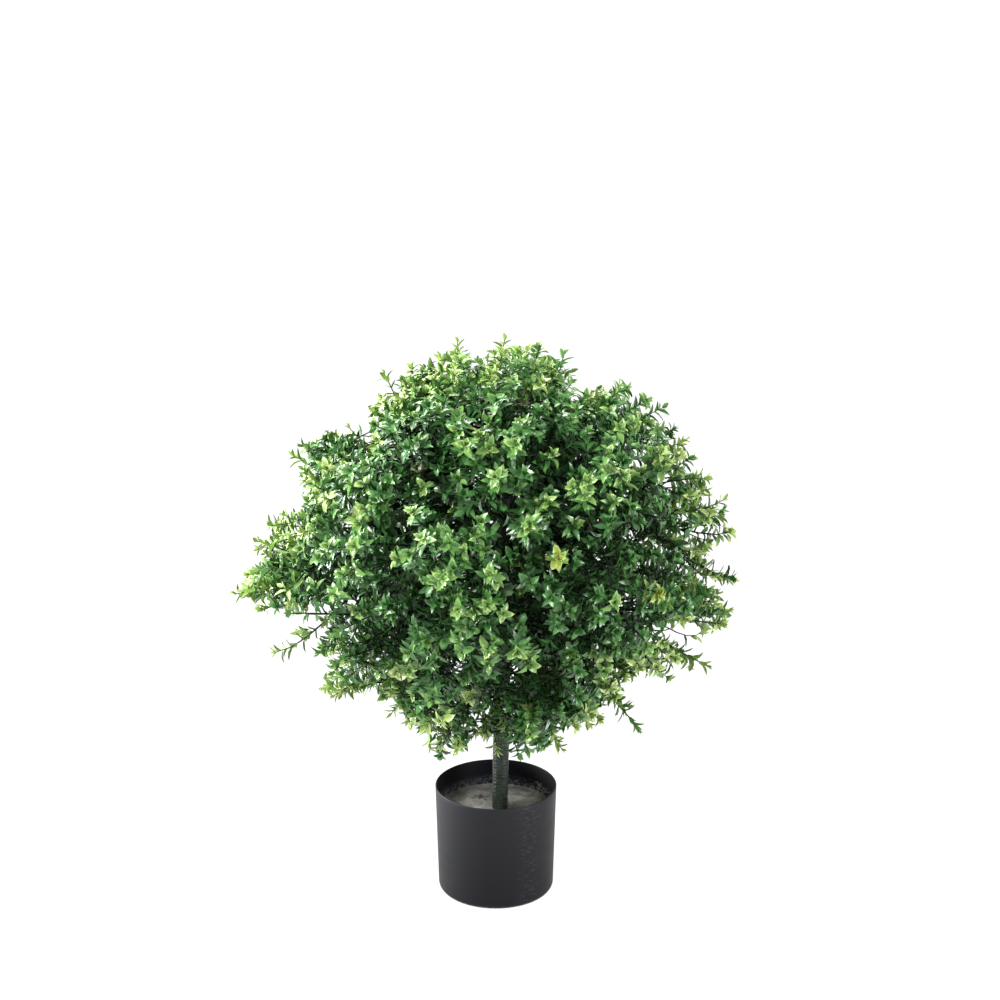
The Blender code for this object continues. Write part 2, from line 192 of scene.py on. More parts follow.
def addNode(tree, kind, settings=(), links=()):
    # settings go to the node's own properties or sockets, and "stops" (place, hex) to its colour ramp
    node = tree.nodes.new("ShaderNode" + kind)
    for name, value in dict(settings).items():
        if name == "stops":
            stops = node.color_ramp.elements
            while len(stops) < len(value):
                stops.new(0.5)
            for stop, (position, hexColour) in zip(stops, value):
                stop.position, stop.color = position, linearColour(hexColour)
        elif isinstance(name, str) and hasattr(node, name):
            setattr(node, name, value)
        else:
            node.inputs[name].default_value = value
    linkInto(tree, node, links)
    return node


def newMaterial(name, shaderSettings):
    # an empty Principled material: returns it, its tree, its shader and the piece's own coordinates
    material = bpy.data.materials.new(name)
    material.use_nodes = True
    tree = material.node_tree
    tree.nodes.clear()
    shader = addNode(tree, "BsdfPrincipled", shaderSettings)
    addNode(tree, "OutputMaterial", {}, {"Surface": shader})
    coords = addNode(tree, "TexCoord")
    return material, tree, shader, coords.outputs["Object"]


def grained(tree, shader, place, pitch, detail, strength, depth):
    # the fine relief of a moulded skin, pitch mm from crest to crest and depth metres deep
    grain = addNode(tree, "TexNoise", {"Scale": 1000 / pitch, "Detail": detail}, {"Vector": place})
    bump = addNode(tree, "Bump", {"Strength": strength, "Distance": depth}, {"Height": grain})
    linkInto(tree, shader, {"Normal": bump})


def settle(piece, slotName, *nodes):
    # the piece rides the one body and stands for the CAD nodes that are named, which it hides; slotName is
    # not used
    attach(piece, "root")
    if nodes:
        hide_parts(*nodes)
    return piece


# crown: the rule by which the masses, boughs and twigs are placed

crown = {
    "centre": np.array([-0.011, 0.0, 0.379]),
    "sightAngle": math.radians(18.4),
    # the twigs that make the front outline: clock angle in degrees from the right side, reach, side sprigs
    "tufts": ((12, .253, 8), (28, .238, 7), (50, .221, 5), (68, .219, 4), (84, .219, 5), (98, .217, 6),
              (120, .211, 3), (138, .190, 2), (154, .223, 9), (178, .237, 9), (190, .263, 10), (206, .243, 4),
              (224, .221, 5), (240, .200, 4), (256, .218, 4), (274, .214, 3), (292, .224, 6), (310, .248, 4),
              (332, .262, 4), (346, .262, 10)),
    # how far the ordinary sprigs reach, in mm, at every sixth degree of the same clock
    "body": (220, 246, 240, 232, 226, 222, 228, 222, 212, 204, 204, 184, 200, 204, 208, 190, 204, 202, 184,
             190, 174, 184, 168, 144, 190, 216, 214, 180, 178, 216, 228, 236, 234, 262, 112, 208, 192, 214,
             196, 182, 170, 190, 200, 208, 200, 194, 176, 226, 214, 200, 212, 208, 206, 164, 214, 236, 196,
             268, 264, 228),
    "bodyStep": 6, "bodyOver": 0.017, "betweenTufts": 0.955, "frontReach": 0.222,
    # dark hollows between the sprays of the front: mm right and up of the middle, half width, depth share
    "hollows": ((88, -2, 36, .46), (58, -2, 28, .46), (28, -4, 16, .32), (-72, 66, 31, .42),
                (-93, -30, 15, .22), (-78, -68, 24, .36), (24, -24, 14, .18), (66, 84, 17, .26),
                (46, -148, 19, .28), (100, -112, 14, .20), (62, -66, 18, .28), (6, -166, 28, .34)),
    "deepest": 0.58,
    # shallow hollows of the back, which the photograph doesn't show: half angle and depth share
    "backHollows": 10, "backSeed": 23, "backStart": -0.15, "backHalf": (0.08, 0.16),
    "backDepth": (0.18, 0.34),
    # openings where the sky shows: mm right and up of the middle, half width and half height in mm
    "openings": ((-130, 94, 7, 7), (-127, 124, 9, 11), (-165, -62, 16, 7), (-207, -72, 36, 10),
                 (-170, -122, 18, 10), (184, 68, 9, 11), (216, 14, 9, 9), (192, -85, 34, 9),
                 (170, -138, 15, 8)),
    "openShare": 0.92,
    # rings of masses: name, elevation, first azimuth, count, bough height over the centre
    "rings": (("top", 90, 0, 1, None), ("upper", 52, 18, 5, .036), ("shoulder", 17, 0, 7, .008),
              ("flank", -17, 26, 7, -.022), ("lower", -52, 54, 5, -.052)),
    "boughEndShare": 0.36, "stemEndShare": 0.66, "boughEase": 0.020, "boughSink": 0.001, "seatGap": 0.0003,
    "leanStep": 0.05,
}
toViewer = np.array([0, -math.cos(crown["sightAngle"]), math.sin(crown["sightAngle"])])
upInView = np.array([0, math.sin(crown["sightAngle"]), math.cos(crown["sightAngle"])])
rightInView = np.array([1.0, 0, 0])

trunk = {
    "footX": 0.0041, "lean": 0.0176, "fill": 0.089, "widest": 0.200, "tip": 0.432,
    "radii": (0.0083, 0.0088, 0.0066),
    "columns": 72, "fineStep": 0.00055, "fineTop": 0.235, "coarseStep": 0.004,
    "ringPitch": 0.0034, "ringDepth": 0.00034, "ringFloor": 0.35, "wander": 0.35, "wanderPitch": 0.016,
    "grainPitch": 0.0042, "grainDepth": 0.00014, "grainStretch": 0.45,
    # upright rows of short nicks: azimuth in degrees and phase of each row
    "nickRows": ((-42, 0.1), (-138, 0.55), (60, 0.3)), "nickPitch": 0.0041, "nickDepth": 0.0008,
    "nickWidth": 0.10, "nickShort": 0.25, "nickSway": 0.10, "swayWaves": 55, "nickUneven": 0.25,
    "unevenWaves": 140, "ringShade": 0.55, "nickShade": 1.4,
}


def trunkCentre(height):
    # a straight line that leans to the right by the same share all the way up
    height = np.asarray(height, float)
    return np.stack([trunk["footX"] + trunk["lean"] * (height - trunk["fill"]), 0 * height, height], -1)


def trunkRadius(height):
    # changes evenly from the cement to the widest place, and from there to the tip
    return np.interp(height, (trunk["fill"], trunk["widest"], trunk["tip"]), trunk["radii"])


def directionOf(elevation, azimuth):
    # (cos up x cos round, cos up x sin round, sin up), in degrees above level and round from +X
    e, a = math.radians(elevation), math.radians(azimuth)
    return np.array([math.cos(e) * math.cos(a), math.cos(e) * math.sin(a), math.sin(e)])


def frontDirection(right, up):
    # the way from the middle of the crown to a place on its front, given in mm right and up of the middle
    flat = np.array([right, up]) / 1000
    forward = math.sqrt(crown["frontReach"] ** 2 - flat @ flat)
    return unit(flat[0] * rightInView + flat[1] * upInView + forward * toViewer)


def layOutHollows():
    # the middle of each hollow as a direction, with its half angle and depth; the back gets seeded ones
    rng = np.random.default_rng(crown["backSeed"])
    found = [(frontDirection(right, up), half / (1000 * crown["frontReach"]), depth)
             for right, up, half, depth in crown["hollows"]]
    while len(found) < len(crown["hollows"]) + crown["backHollows"]:
        way = unit(rng.normal(size=3) * (1, 1, 0.8))
        if way @ toViewer < crown["backStart"]:
            found.append((way, rng.uniform(*crown["backHalf"]), rng.uniform(*crown["backDepth"])))
    return found


hollows = layOutHollows()


def hollowness(direction):
    # sum of smooth dips: depth x exp(-(angle from the middle / half angle) squared)
    angles = [math.acos(min(1.0, float(direction @ middle))) for middle, _, _ in hollows]
    return sum(depth * math.exp(-(angle / half) ** 2) for angle, (_, half, depth) in zip(angles, hollows))


def easedReach(direction, clocks, reaches):
    # the outline read by clock angle, eased to one depth at front and back
    clock = math.degrees(math.atan2(direction @ upInView, direction @ rightInView)) % 360
    outline = float(np.interp(clock, clocks, reaches, period=360))
    return outline + (crown["frontReach"] - outline) * (direction @ toViewer) ** 2


def limbReach(direction):
    # the coarse outline of the masses, a little within the tips of the outline's twigs
    clocks, reaches, _ = zip(*crown["tufts"])
    return easedReach(direction, clocks, np.array(reaches) * crown["betweenTufts"])


def crownReach(direction):
    # the finer outline of the ordinary sprigs, less a smooth dip at each hollow
    body = np.array(crown["body"]) / 1000 + crown["bodyOver"]
    reach = easedReach(direction, np.arange(0, 360, crown["bodyStep"]), body)
    return reach * (1 - min(hollowness(direction), crown["deepest"]))


def inOpening(points):
    # which points, measured from the middle of the crown, lie in an opening as the front view shows it
    right, up = (points @ way * 1000 for way in (rightInView, upInView))
    o = np.array(crown["openings"])
    away = (right[..., None] - o[:, 0]) ** 2 / o[:, 2] ** 2 + (up[..., None] - o[:, 1]) ** 2 / o[:, 3] ** 2
    return (away < 1).any(-1)


class Mass:
    # one foliage mass: its stem begins where its bough ends, and runs straight on outwards
    def __init__(self, ring, name, direction, boughHeight):
        self.ring, self.name, self.direction, self.boughHeight = ring, name, direction, boughHeight
        self.reach = limbReach(direction)
        self.stemRoot = crown["centre"] + direction * self.reach * crown["boughEndShare"]
        self.stemTip = crown["centre"] + direction * self.reach * crown["stemEndShare"]
        self.stemLength = self.reach * (crown["stemEndShare"] - crown["boughEndShare"])

    def alongStem(self, share):
        return self.stemRoot + self.direction * self.stemLength * share


def layOutMasses():
    # even rings of masses; planes are those halfway between a mass and each of the others
    masses = []
    for ring, elevation, first, count, height in crown["rings"]:
        for i in range(count):
            name = ring if count == 1 else f"{ring}_{i + 1}"
            masses.append(Mass(ring, name, directionOf(elevation, first + i * 360 / count), height))
    for mass in masses:
        others = [other for other in masses if other is not mass]
        mass.planes = np.array([unit(mass.direction - other.direction) for other in others])
    return masses


def leanedIn(mass, direction, reach, margin):
    # turned towards the middle of the mass until its end keeps the margin to the neighbours' cells
    while (mass.planes @ (direction * reach)).min() < margin:
        direction = unit(direction + crown["leanStep"] * mass.direction)
    return direction


def boughControls(mass):
    # leaves the trunk level, or at its tip upwards, and comes in along the direction of its mass
    end = mass.stemRoot - mass.direction * crown["seatGap"]
    if mass.boughHeight is None:
        outward = np.array([0, 0, 1.0])
        start = trunkCentre(trunk["tip"]) + outward * crown["seatGap"]
    else:
        outward = unit(mass.direction * (1, 1, 0))
        height = crown["centre"][2] + mass.boughHeight
        start = trunkCentre(height) + outward * (trunkRadius(height) - crown["boughSink"])
    ease = crown["boughEase"]
    return curveOf(start, outward * ease, end, mass.direction * ease)


# twigs: each mass has main twigs, side sprigs that leave them, and short inner sprigs low on its stem

twigs = {
    "seed": 44, "steps": 7, "tubeSides": 4, "endLeaf": 0.007, "spacing": 0.034, "easeShare": 0.33,
    # main twigs: share of the stem for the first root, step and last; least reach at the front and the back
    "mains": 5, "mainSpread": math.radians(24), "mainMargin": 0.010, "rootShares": (0.30, 0.10, 0.95),
    "frontShare": 0.94, "backShare": 0.88, "backFrom": -0.1, "mainScatter": 0.24, "mainRise": (0, 0, 0.15),
    "ease": 0.014, "arriveEase": 2.2,
    # side sprigs: how far from their main twig they end, how much lower, and how they are scattered
    "sides": 8, "sideSpread": (0.024, 0.064), "sideMargin": -0.005, "sideDome": 0.08, "sideShort": 0.05,
    "turnScatter": 0.3, "leaveShare": (0.35, 0.75), "sideScatter": 0.42, "sideOut": 0.35,
    "sideRise": (0, 0, 0.22), "slenderRim": 0.65, "thinRim": 0.26, "sameTone": 0.6,
    # a side sprig is left out where its end, or the point at this share of the way out, is in an opening
    "secondTest": 0.87,
    # the same for the twigs that make the outline, whose sprigs reach less far the further out they stand
    "tuftSpread": (0.010, 0.046), "tuftMargin": 0.006, "tuftDome": 0.04, "tuftReach": (1.01, 0.22),
    "inner": 24, "innerSpread": math.radians(34), "innerTurn": 1.3, "innerShare": (0.46, 0.90),
    "innerLeast": (0.080, 0.125), "innerRoot": (0.0, 0.9), "innerScatter": 0.25, "innerOlive": 0.08,
    # radii at the root and at the tip
    "radii": {"main": (0.0018, 0.0005), "side": (0.0011, 0.0004), "slender": (0.0010, 0.0004),
              "inner": (0.0011, 0.0004), "tuft": (0.0018, 0.0005), "stem": (0.0024, 0.0012)},
    # sprays that catch the eye at the front: mm right and up of the middle, and their tone
    "stars": ((-17, 99, "bright"), (31, 101, "bright"), (9, 65, "bright"), (46, 22, "bright"),
              (115, 91, "bright"), (99, 53, "bright"), (-74, 40, "bright"), (-153, 43, "plain"),
              (-120, 0, "bright"), (-32, 5, "plain"), (-38, -28, "bright"), (6, -25, "bright"),
              (3, -56, "bright"), (-24, -59, "bright"), (-79, -107, "plain"), (31, -100, "bright"),
              (132, -104, "plain"), (-52, -151, "plain"), (44, -178, "bright"), (77, -11, "olive"),
              (151, -39, "olive"), (-146, 3, "bright"), (-62, 12, "bright"), (-22, 132, "plain"),
              (150, -92, "bright"), (-138, -66, "bright"), (153, 90, "plain")),
    "starSides": 3, "starCell": 0.215, "starLeast": 0.205,
}

# shares of the tones, with painted light and shade: sprigs at the top, the left and the rim are dealt
# lighter tones, as if lit from the upper left and from behind, and those low down and at the right darker
# ones
tones = {
    "pale": 0.31, "paleUp": 0.17, "paleSide": 0.12, "paleLeft": 0.06, "paleCorner": 0.60, "paleLeast": 0.06,
    "bright": 0.07, "brightUp": 0.12, "brightLeft": 0.10, "brightRim": 0.42,
    "shade": 0.14, "shadeDown": 0.30, "shadeRight": 0.26, "plainShare": 0.6,
    "backlitLift": 0.30, "hollowDepth": 0.13, "caveDepth": 0.22, "rimPower": 1.5, "behind": 0.55,
}


def dealTone(rng, direction, lift=0.0):
    # the tone of a sprig that ends this way from the middle: draws set against the shares of the tones
    up, right, facing = direction @ upInView, direction @ rightInView, direction @ toViewer
    # 1 on the outline, falling to 0 at the middle of the front and less far at the back
    rim = (1 - facing ** 2 * (1 if facing > 0 else tones["behind"])) ** tones["rimPower"]
    # painted light: the pale and bright shares grow towards the top, the left and the outline
    pale = tones["pale"] + lift + tones["paleUp"] * up + tones["paleSide"] * abs(right)
    pale += tones["paleCorner"] * max(-up, 0) * abs(right) - tones["paleLeft"] * right
    pale = rim * np.clip(pale, tones["paleLeast"], 1)
    bright = pale + tones["bright"] + tones["brightUp"] * up - tones["brightLeft"] * right
    bright += tones["brightRim"] * rim
    # painted shade: the shade share grows low down and at the right
    shade = tones["shade"] + tones["shadeDown"] * max(-up, 0)
    shade += tones["shadeRight"] * max(right, 0) * (1 - abs(up)) * (1 - rim)
    draw, other = rng.uniform(0, 1, 2)
    # painted shade: a sprig that ends in a hollow takes the shade tone, and in a deep hollow the darker cave
    # tone
    dip = hollowness(direction)
    if dip > tones["hollowDepth"]:
        return "cave" if dip > tones["caveDepth"] else "shade"
    if draw < bright:
        return "pale" if draw < pale else "bright"
    return "shade" if draw > 1 - shade else "plain" if other < tones["plainShare"] else "cool"


def nearestMass(masses, direction):
    return max(masses, key=lambda mass: mass.direction @ direction)


def fanned(mass, index, count, spread, first):
    # one way of a fan about the mass: it leans by spread x root of share, and turns on by the golden angle
    side, other = squareTo(mass.direction, [0.2, 0.3, 0.9])
    lean = spread * math.sqrt((index + 0.5) / count)
    return swing(lean, mass.direction, swing(first + index * goldenTurn, side, other))


def frontTargets(mass, masses):
    # the twigs that the front shows one by one, where this mass is the nearest: ("tuft" or a tone, where the
    # twig ends as seen from the middle of the crown, number of side sprigs)
    found = []
    for clock, reach, count in crown["tufts"]:
        direction = swing(math.radians(clock), rightInView, upInView)
        if mass is nearestMass(masses, direction):
            found.append(("tuft", leanedIn(mass, direction, reach, twigs["tuftMargin"]) * reach, count))
    for right, up, tone in twigs["stars"]:
        direction = frontDirection(right, up)
        if mass is nearestMass(masses, direction):
            reach = max(crownReach(direction), twigs["starLeast"])
            found.append((tone, leanedIn(mass, direction, twigs["starCell"], 0) * reach, twigs["starSides"]))
    return found


def addMainTargets(targets, mass, first, rng):
    # a fan of main twigs, without those that would end close to a target already there
    for i in range(twigs["mains"]):
        direction = fanned(mass, i, twigs["mains"], twigs["mainSpread"], first)
        direction = leanedIn(mass, direction, crownReach(direction), twigs["mainMargin"])
        # the back, which the photograph doesn't show, is left a little more uneven
        least = twigs["frontShare"] if direction @ toViewer > twigs["backFrom"] else twigs["backShare"]
        target = direction * crownReach(direction) * rng.uniform(least, 1.0)
        if all(np.linalg.norm(target - placed) > twigs["spacing"] for _, placed, _ in targets):
            targets.append(("main", target, twigs["sides"]))


def mainTwig(mass, index, kind, target, rng):
    # (controls, tone) of the twig that leaves the stem of its mass and ends at the target
    outward = unit(target)
    tone = kind
    if kind in ("tuft", "main"):
        # painted light: twigs of the outline get a larger pale share, as if lit from behind
        tone = dealTone(rng, outward, tones["backlitLift"] if kind == "tuft" else 0.0)
    first, step, last = twigs["rootShares"]
    root = mass.alongStem(min(first + step * index, last))
    arrive = unit(outward + rng.normal(0, twigs["mainScatter"], 3) + twigs["mainRise"])
    end = crown["centre"] + target - arrive * twigs["endLeaf"]
    ease = twigs["ease"]
    return curveOf(root, mass.direction * ease, end, arrive * twigs["arriveEase"] * ease), tone


def sideSprigs(mass, kind, target, count, controls, tone, rng):
    # sprigs that leave a main twig and end round about its target
    tuft = kind == "tuft"
    near, far = twigs["tuftSpread" if tuft else "sideSpread"]
    whole, less = twigs["tuftReach"]
    outward = unit(target)
    side, other = squareTo(outward, [0.3, 0.9, 0.2])
    made = []
    spin = rng.uniform(0, 2 * math.pi)
    for k in range(count):
        turn = spin + k * 2 * math.pi / count + rng.uniform(-twigs["turnScatter"], twigs["turnScatter"])
        offset = near + (far - near) * (k + rng.uniform(0, 1)) / count if tuft else rng.uniform(near, far)
        aim = unit(target + offset * swing(turn, side, other))
        reach = np.linalg.norm(target) * (whole - less * offset / far) if tuft else crownReach(aim)
        aim = leanedIn(mass, aim, reach, twigs["sideMargin"])
        # a clump is domed: sprigs far from its middle twig end lower
        dome = twigs["tuftDome" if tuft else "sideDome"] * (offset / far) ** 2
        place = aim * reach * (1.0 - dome - rng.uniform(0, twigs["sideShort"]))
        rim = 1 - (aim @ toViewer) ** 2
        slender = tuft or rng.uniform() < twigs["slenderRim"] * rim ** 3
        thinned = rng.uniform() < twigs["thinRim"] * rim ** 4
        if inOpening(place) or inOpening(place * twigs["secondTest"]) or thinned and not tuft:
            continue
        start = pointOnCurve(controls, rng.uniform(*twigs["leaveShare"]))
        scatter = rng.normal(0, twigs["sideScatter"], 3)
        arrive = unit(unit(place) + scatter + twigs["sideOut"] * (place - target) / far + twigs["sideRise"])
        tip = crown["centre"] + place - arrive * twigs["endLeaf"]
        ease = twigs["easeShare"] * np.linalg.norm(tip - start)
        leave = unit(outward + unit(tip - start))
        asMain = rng.uniform() < twigs["sameTone"] and tone != "olive"
        # painted light: slender sprigs, most of them on the outline, get the same larger pale share
        sideTone = tone if asMain else dealTone(rng, aim, tones["backlitLift"] if slender else 0.0)
        curve = curveOf(start, leave * ease, tip, arrive * ease)
        made.append(("slender" if slender else "side", curve, sideTone))
    return made


def innerSprigs(mass, first, rng):
    # short sprigs in a fan about the stem, which fill the inside of the mass
    made = []
    for k in range(twigs["inner"]):
        aim = unit(fanned(mass, k, twigs["inner"], twigs["innerSpread"], first + twigs["innerTurn"]))
        # none ends so deep in a hollow that it leaves the far side open
        reach = max(crownReach(aim) * rng.uniform(*twigs["innerShare"]), rng.uniform(*twigs["innerLeast"]))
        aim = leanedIn(mass, aim, reach, twigs["sideMargin"])
        root = mass.alongStem(rng.uniform(*twigs["innerRoot"]))
        tip = crown["centre"] + aim * reach
        arrive = unit(aim + rng.normal(0, twigs["innerScatter"], 3))
        ease = twigs["easeShare"] * np.linalg.norm(tip - root)
        # painted shade: an inner sprig that ends in a hollow takes the darkest inner tone
        tone = "innerDark" if hollowness(aim) > tones["hollowDepth"] else "inner"
        if rng.uniform() < twigs["innerOlive"]:
            tone = "innerOlive"
        made.append(("inner", curveOf(root, mass.direction * ease, tip, arrive * ease), tone))
    return made


def sprigsOf(mass, masses, rng):
    # list of (kind, controls, tone): a cubic from its root to a target on or under the crown's surface
    targets = frontTargets(mass, masses)
    first = rng.uniform(0, 2 * math.pi)
    addMainTargets(targets, mass, first, rng)
    made = []
    for index, (kind, target, count) in enumerate(targets):
        controls, tone = mainTwig(mass, index, kind, target, rng)
        made.append(("tuft" if kind == "tuft" else "main", controls, tone))
        made += sideSprigs(mass, kind, target, count, controls, tone, rng)
    return made + innerSprigs(mass, first, rng)


# leaves: a cupped rosette at the tip of each sprig, then crossed pairs spaced wider and wider down it

leaves = {
    "seed": 19, "thickness": 0.030, "ridge": 0.3, "fold": 0.42, "budFold": 1.4, "curveSteps": 40,
    "axisStep": 0.002,
    "leafyLength": {"tuft": 0.115, "slender": 0.076, "main": 0.068, "side": 0.062, "inner": 0.054},
    "leafyShare": 0.92,
    # whorls from the tip down: distance in mm, leaves round the stem, length in mm, width share, opening in
    # degrees, bend; a pair starts with its length, and counts gives its leaves, the last one over and over
    "full": {"head": ((0.9, 2, 8.8, 0.60, 22, 0.55), (2.6, 3, 11.2, 0.56, 36, 0.90),
                      (5.4, 3, 13.4, 0.50, 52, 1.15)),
             "counts": (4, 4, 3, 3, 2), "pair": (14.6, 0.36, 54, 0.70), "gap": 5.4},
    "slender": {"head": ((1.0, 2, 9.8, 0.41, 27, 0.40), (5.8, 2, 13.0, 0.38, 38, 0.50)),
                "counts": (2,), "pair": (14.9, 0.37, 44, 0.60), "gap": 6.6},
    "firstPair": 9.8, "gapGrowth": 1.065,
    # how far each whorl and leaf strays, in metres or radians, and the shares by which sizes are dealt out
    "slip": 0.0014, "whorlTurn": 0.4, "leafTurn": 0.13, "openingScatter": 0.20, "roll": 0.30,
    "scatter": {"length": (0.78, 1.14), "width": (0.84, 1.16), "bend": (0.6, 1.4), "fold": (0.5, 1.6)},
    "bud": {"length": (0.0060, 0.0084), "width": (0.36, 0.50), "bend": (0.2, 0.5)}, "budWaver": 0.0006,
    # mm from the tip at which the leaf colours change, and where the rimmed and the outer leaf shapes end
    "bands": (3.4, 7.0, 16.0, 27.0), "rimmedTo": 6.5, "outerTo": 24.0, "slenderStretch": 2.1,
    # shares left out near the tip and further down, and how far up a leaf trunk and openings are tested
    "dropShares": (0.03, 0.06), "tested": 0.6, "trunkClearance": 0.014,
}

# leaf outlines by station along the leaf (0 root, 1 tip): half width as a share of the widest
outerOutline = ((0.15, 0.62), (0.44, 1.0), (0.74, 0.62))
innerOutline = ((0.27, 0.88), (0.68, 0.82))
rimStart = 0.68


def leafTemplate(stations, rimmed, tipped=False):
    # points as (station, side, fold share, thickness share), triangles, and which of them are rim
    points = [(0, 0, 0, 0), (1, 0, 0, 0)]
    rows = []
    for s, w in stations:
        sides = (1, rimStart, 0, -rimStart, -1) if rimmed else (1, 0, -1)
        row = [(s, w * side, w * abs(side), 0 if side else leaves["ridge"]) for side in sides]
        row.append((s, 0, 0, -1))
        rows.append(list(range(len(points), len(points) + len(row))))
        points += row
    keel = len(rows[0]) - 1
    faces, rims = [], []
    # lengthwise strips from root to tip: those of the upper face from side to side, then two under the keel
    for number, (p, q) in enumerate([(c, c + 1) for c in range(keel - 1)] + [(keel, 0), (keel - 1, keel)]):
        edge = rimmed and number in (0, keel - 2)
        faces.append((0, rows[0][q], rows[0][p]))
        rims.append(False)
        for low, high in zip(rows[:-1], rows[1:]):
            faces += [(low[p], low[q], high[q]), (low[p], high[q], high[p])]
            rims += [edge and low is not rows[0], edge]
        faces.append((rows[-1][p], rows[-1][q], 1))
        rims.append(number < keel - 1 and (rimmed or tipped))
    return np.array(points, float), np.array(faces), np.array(rims)


def placeLeaves(template, leaf):
    # the midrib is an arc that bends back through leaf["bend"]; edges stand off it across and upwards
    points, faces = template[:2]
    s, side, fold, thick = (points[None, :, i, None] for i in range(4))
    length, width, bend, folded = (leaf[key][:, None, None] for key in ("length", "width", "bend", "fold"))
    along, facing, root = (leaf[key][:, None] for key in ("along", "facing", "root"))
    spine = length * (np.sin(bend * s) / bend * along - (1 - np.cos(bend * s)) / bend * facing)
    normal = np.cos(bend * s) * facing + np.sin(bend * s) * along
    half = length * width / 2
    lift = half * folded * fold + length * leaves["thickness"] * thick
    placed = root + spine + half * side * np.cross(facing, along) + lift * normal
    return placed.reshape(-1, 3), repeated(faces, len(placed), len(points))


def whorlsOf(kind, reach):
    # rows of (distance from tip, leaf count, length, width share, opening, bend) as far as the reach
    style = leaves["slender" if kind in ("tuft", "slender") else "full"]
    rows = list(style["head"])
    distance, gap = leaves["firstPair"], style["gap"]
    while distance < reach * 1000:
        pair = min(len(rows) - len(style["head"]), len(style["counts"]) - 1)
        rows.append((distance, style["counts"][pair], *style["pair"]))
        distance += gap
        gap *= leaves["gapGrowth"]
    return np.array(rows)


def leafPlaces(kinds, fine, rng):
    # for each leaf its sprig, its place on the sprig's curve, the axis and turn there, its whorl's values
    gaps = np.linalg.norm(np.diff(fine, axis=1), axis=2)
    fromTip = np.concatenate([np.cumsum(gaps[:, ::-1], 1)[:, ::-1], np.zeros((len(fine), 1))], 1)
    step = leaves["axisStep"]
    found = []
    for i, kind in enumerate(kinds):
        whorls = whorlsOf(kind, min(leaves["leafyLength"][kind], fromTip[i, 0] * leaves["leafyShare"]))
        distance = whorls[:, 0] / 1000
        distance[2:] += rng.uniform(-leaves["slip"], leaves["slip"], len(distance) - 2)
        root, above, below = (
            np.stack([np.interp(shift - distance, -fromTip[i], fine[i, :, a]) for a in range(3)], -1)
            for shift in (0, step, -step))
        # the second whorl stands between the leaves of the first, and pairs cross each other
        turn = rng.uniform(0, math.pi) + math.pi / 2 * np.arange(len(whorls))
        turn = turn + rng.uniform(-leaves["whorlTurn"], leaves["whorlTurn"], len(whorls))
        count = whorls[:, 1].astype(int)
        row = np.repeat(np.arange(len(whorls)), count)
        place = {"sprig": np.full(len(row), i), "root": root[row], "axis": unit(above - below)[row],
                 "turn": turn[row] + np.concatenate([turnsOf(n) for n in count]), "down": whorls[row, 0]}
        place.update(zip(("length", "width", "opening", "bend"), whorls[row, 2:].T))
        found.append(place)
    return {key: np.concatenate([place[key] for place in found]) for key in found[0]}


def leavesOnSprigs(kinds, controls, rng):
    # leaves stand round the curve at each whorl: along = axis x cos(opening) + outward x sin(opening)
    fine = bezier(controls, leaves["curveSteps"])
    leaf = leafPlaces(kinds, fine, rng)
    count = len(leaf["sprig"])
    axis = leaf.pop("axis")
    turn = leaf.pop("turn") + rng.normal(0, leaves["leafTurn"], count)
    outward = swing(turn, *squareTo(axis, [0.4, 0.8, 0.45]))
    opening = np.radians(leaf.pop("opening")) + rng.normal(0, leaves["openingScatter"], count)
    along = unit(swing(opening, axis, outward))
    facing = unit(swing(opening, -outward, axis))
    facing = unit(facing + rng.normal(0, leaves["roll"], count)[:, None] * np.cross(facing, along))
    leaf["along"] = along
    leaf["facing"] = unit(facing - along * (facing * along).sum(1, keepdims=True))
    leaf["length"] = leaf["length"] / 1000
    leaf["fold"] = np.full(count, leaves["fold"])
    for key, spread in leaves["scatter"].items():
        leaf[key] = leaf[key] * rng.uniform(*spread, count)

    tip = fine[:, -1]
    bud = {"sprig": np.arange(len(tip)), "down": np.zeros(len(tip)), "root": tip,
           "along": unit(tip - fine[:, -3] + rng.normal(0, leaves["budWaver"], tip.shape)),
           "fold": np.full(len(tip), leaves["fold"] * leaves["budFold"])}
    for key, spread in leaves["bud"].items():
        bud[key] = rng.uniform(*spread, len(tip))
    bud["facing"] = unit(np.cross(bud["along"], rng.normal(size=tip.shape)))

    keep = rng.uniform(0, 1, count) > np.where(leaf["down"] < leaves["bands"][1], *leaves["dropShares"])
    middle = leaf["root"] + leaf["along"] * leaf["length"][:, None] * leaves["tested"]
    fromTrunk = np.hypot(middle[:, 0] - trunkCentre(middle[:, 2])[:, 0], middle[:, 1])
    keep &= (fromTrunk > leaves["trunkClearance"]) | (middle[:, 2] > trunk["tip"])
    blocking = (kinds != "tuft")[leaf["sprig"]] & inOpening(middle - crown["centre"])
    keep &= ~(blocking & (rng.uniform(0, 1, count) < crown["openShare"]))
    return {key: np.concatenate([leaf[key][keep], bud[key]]) for key in leaf}


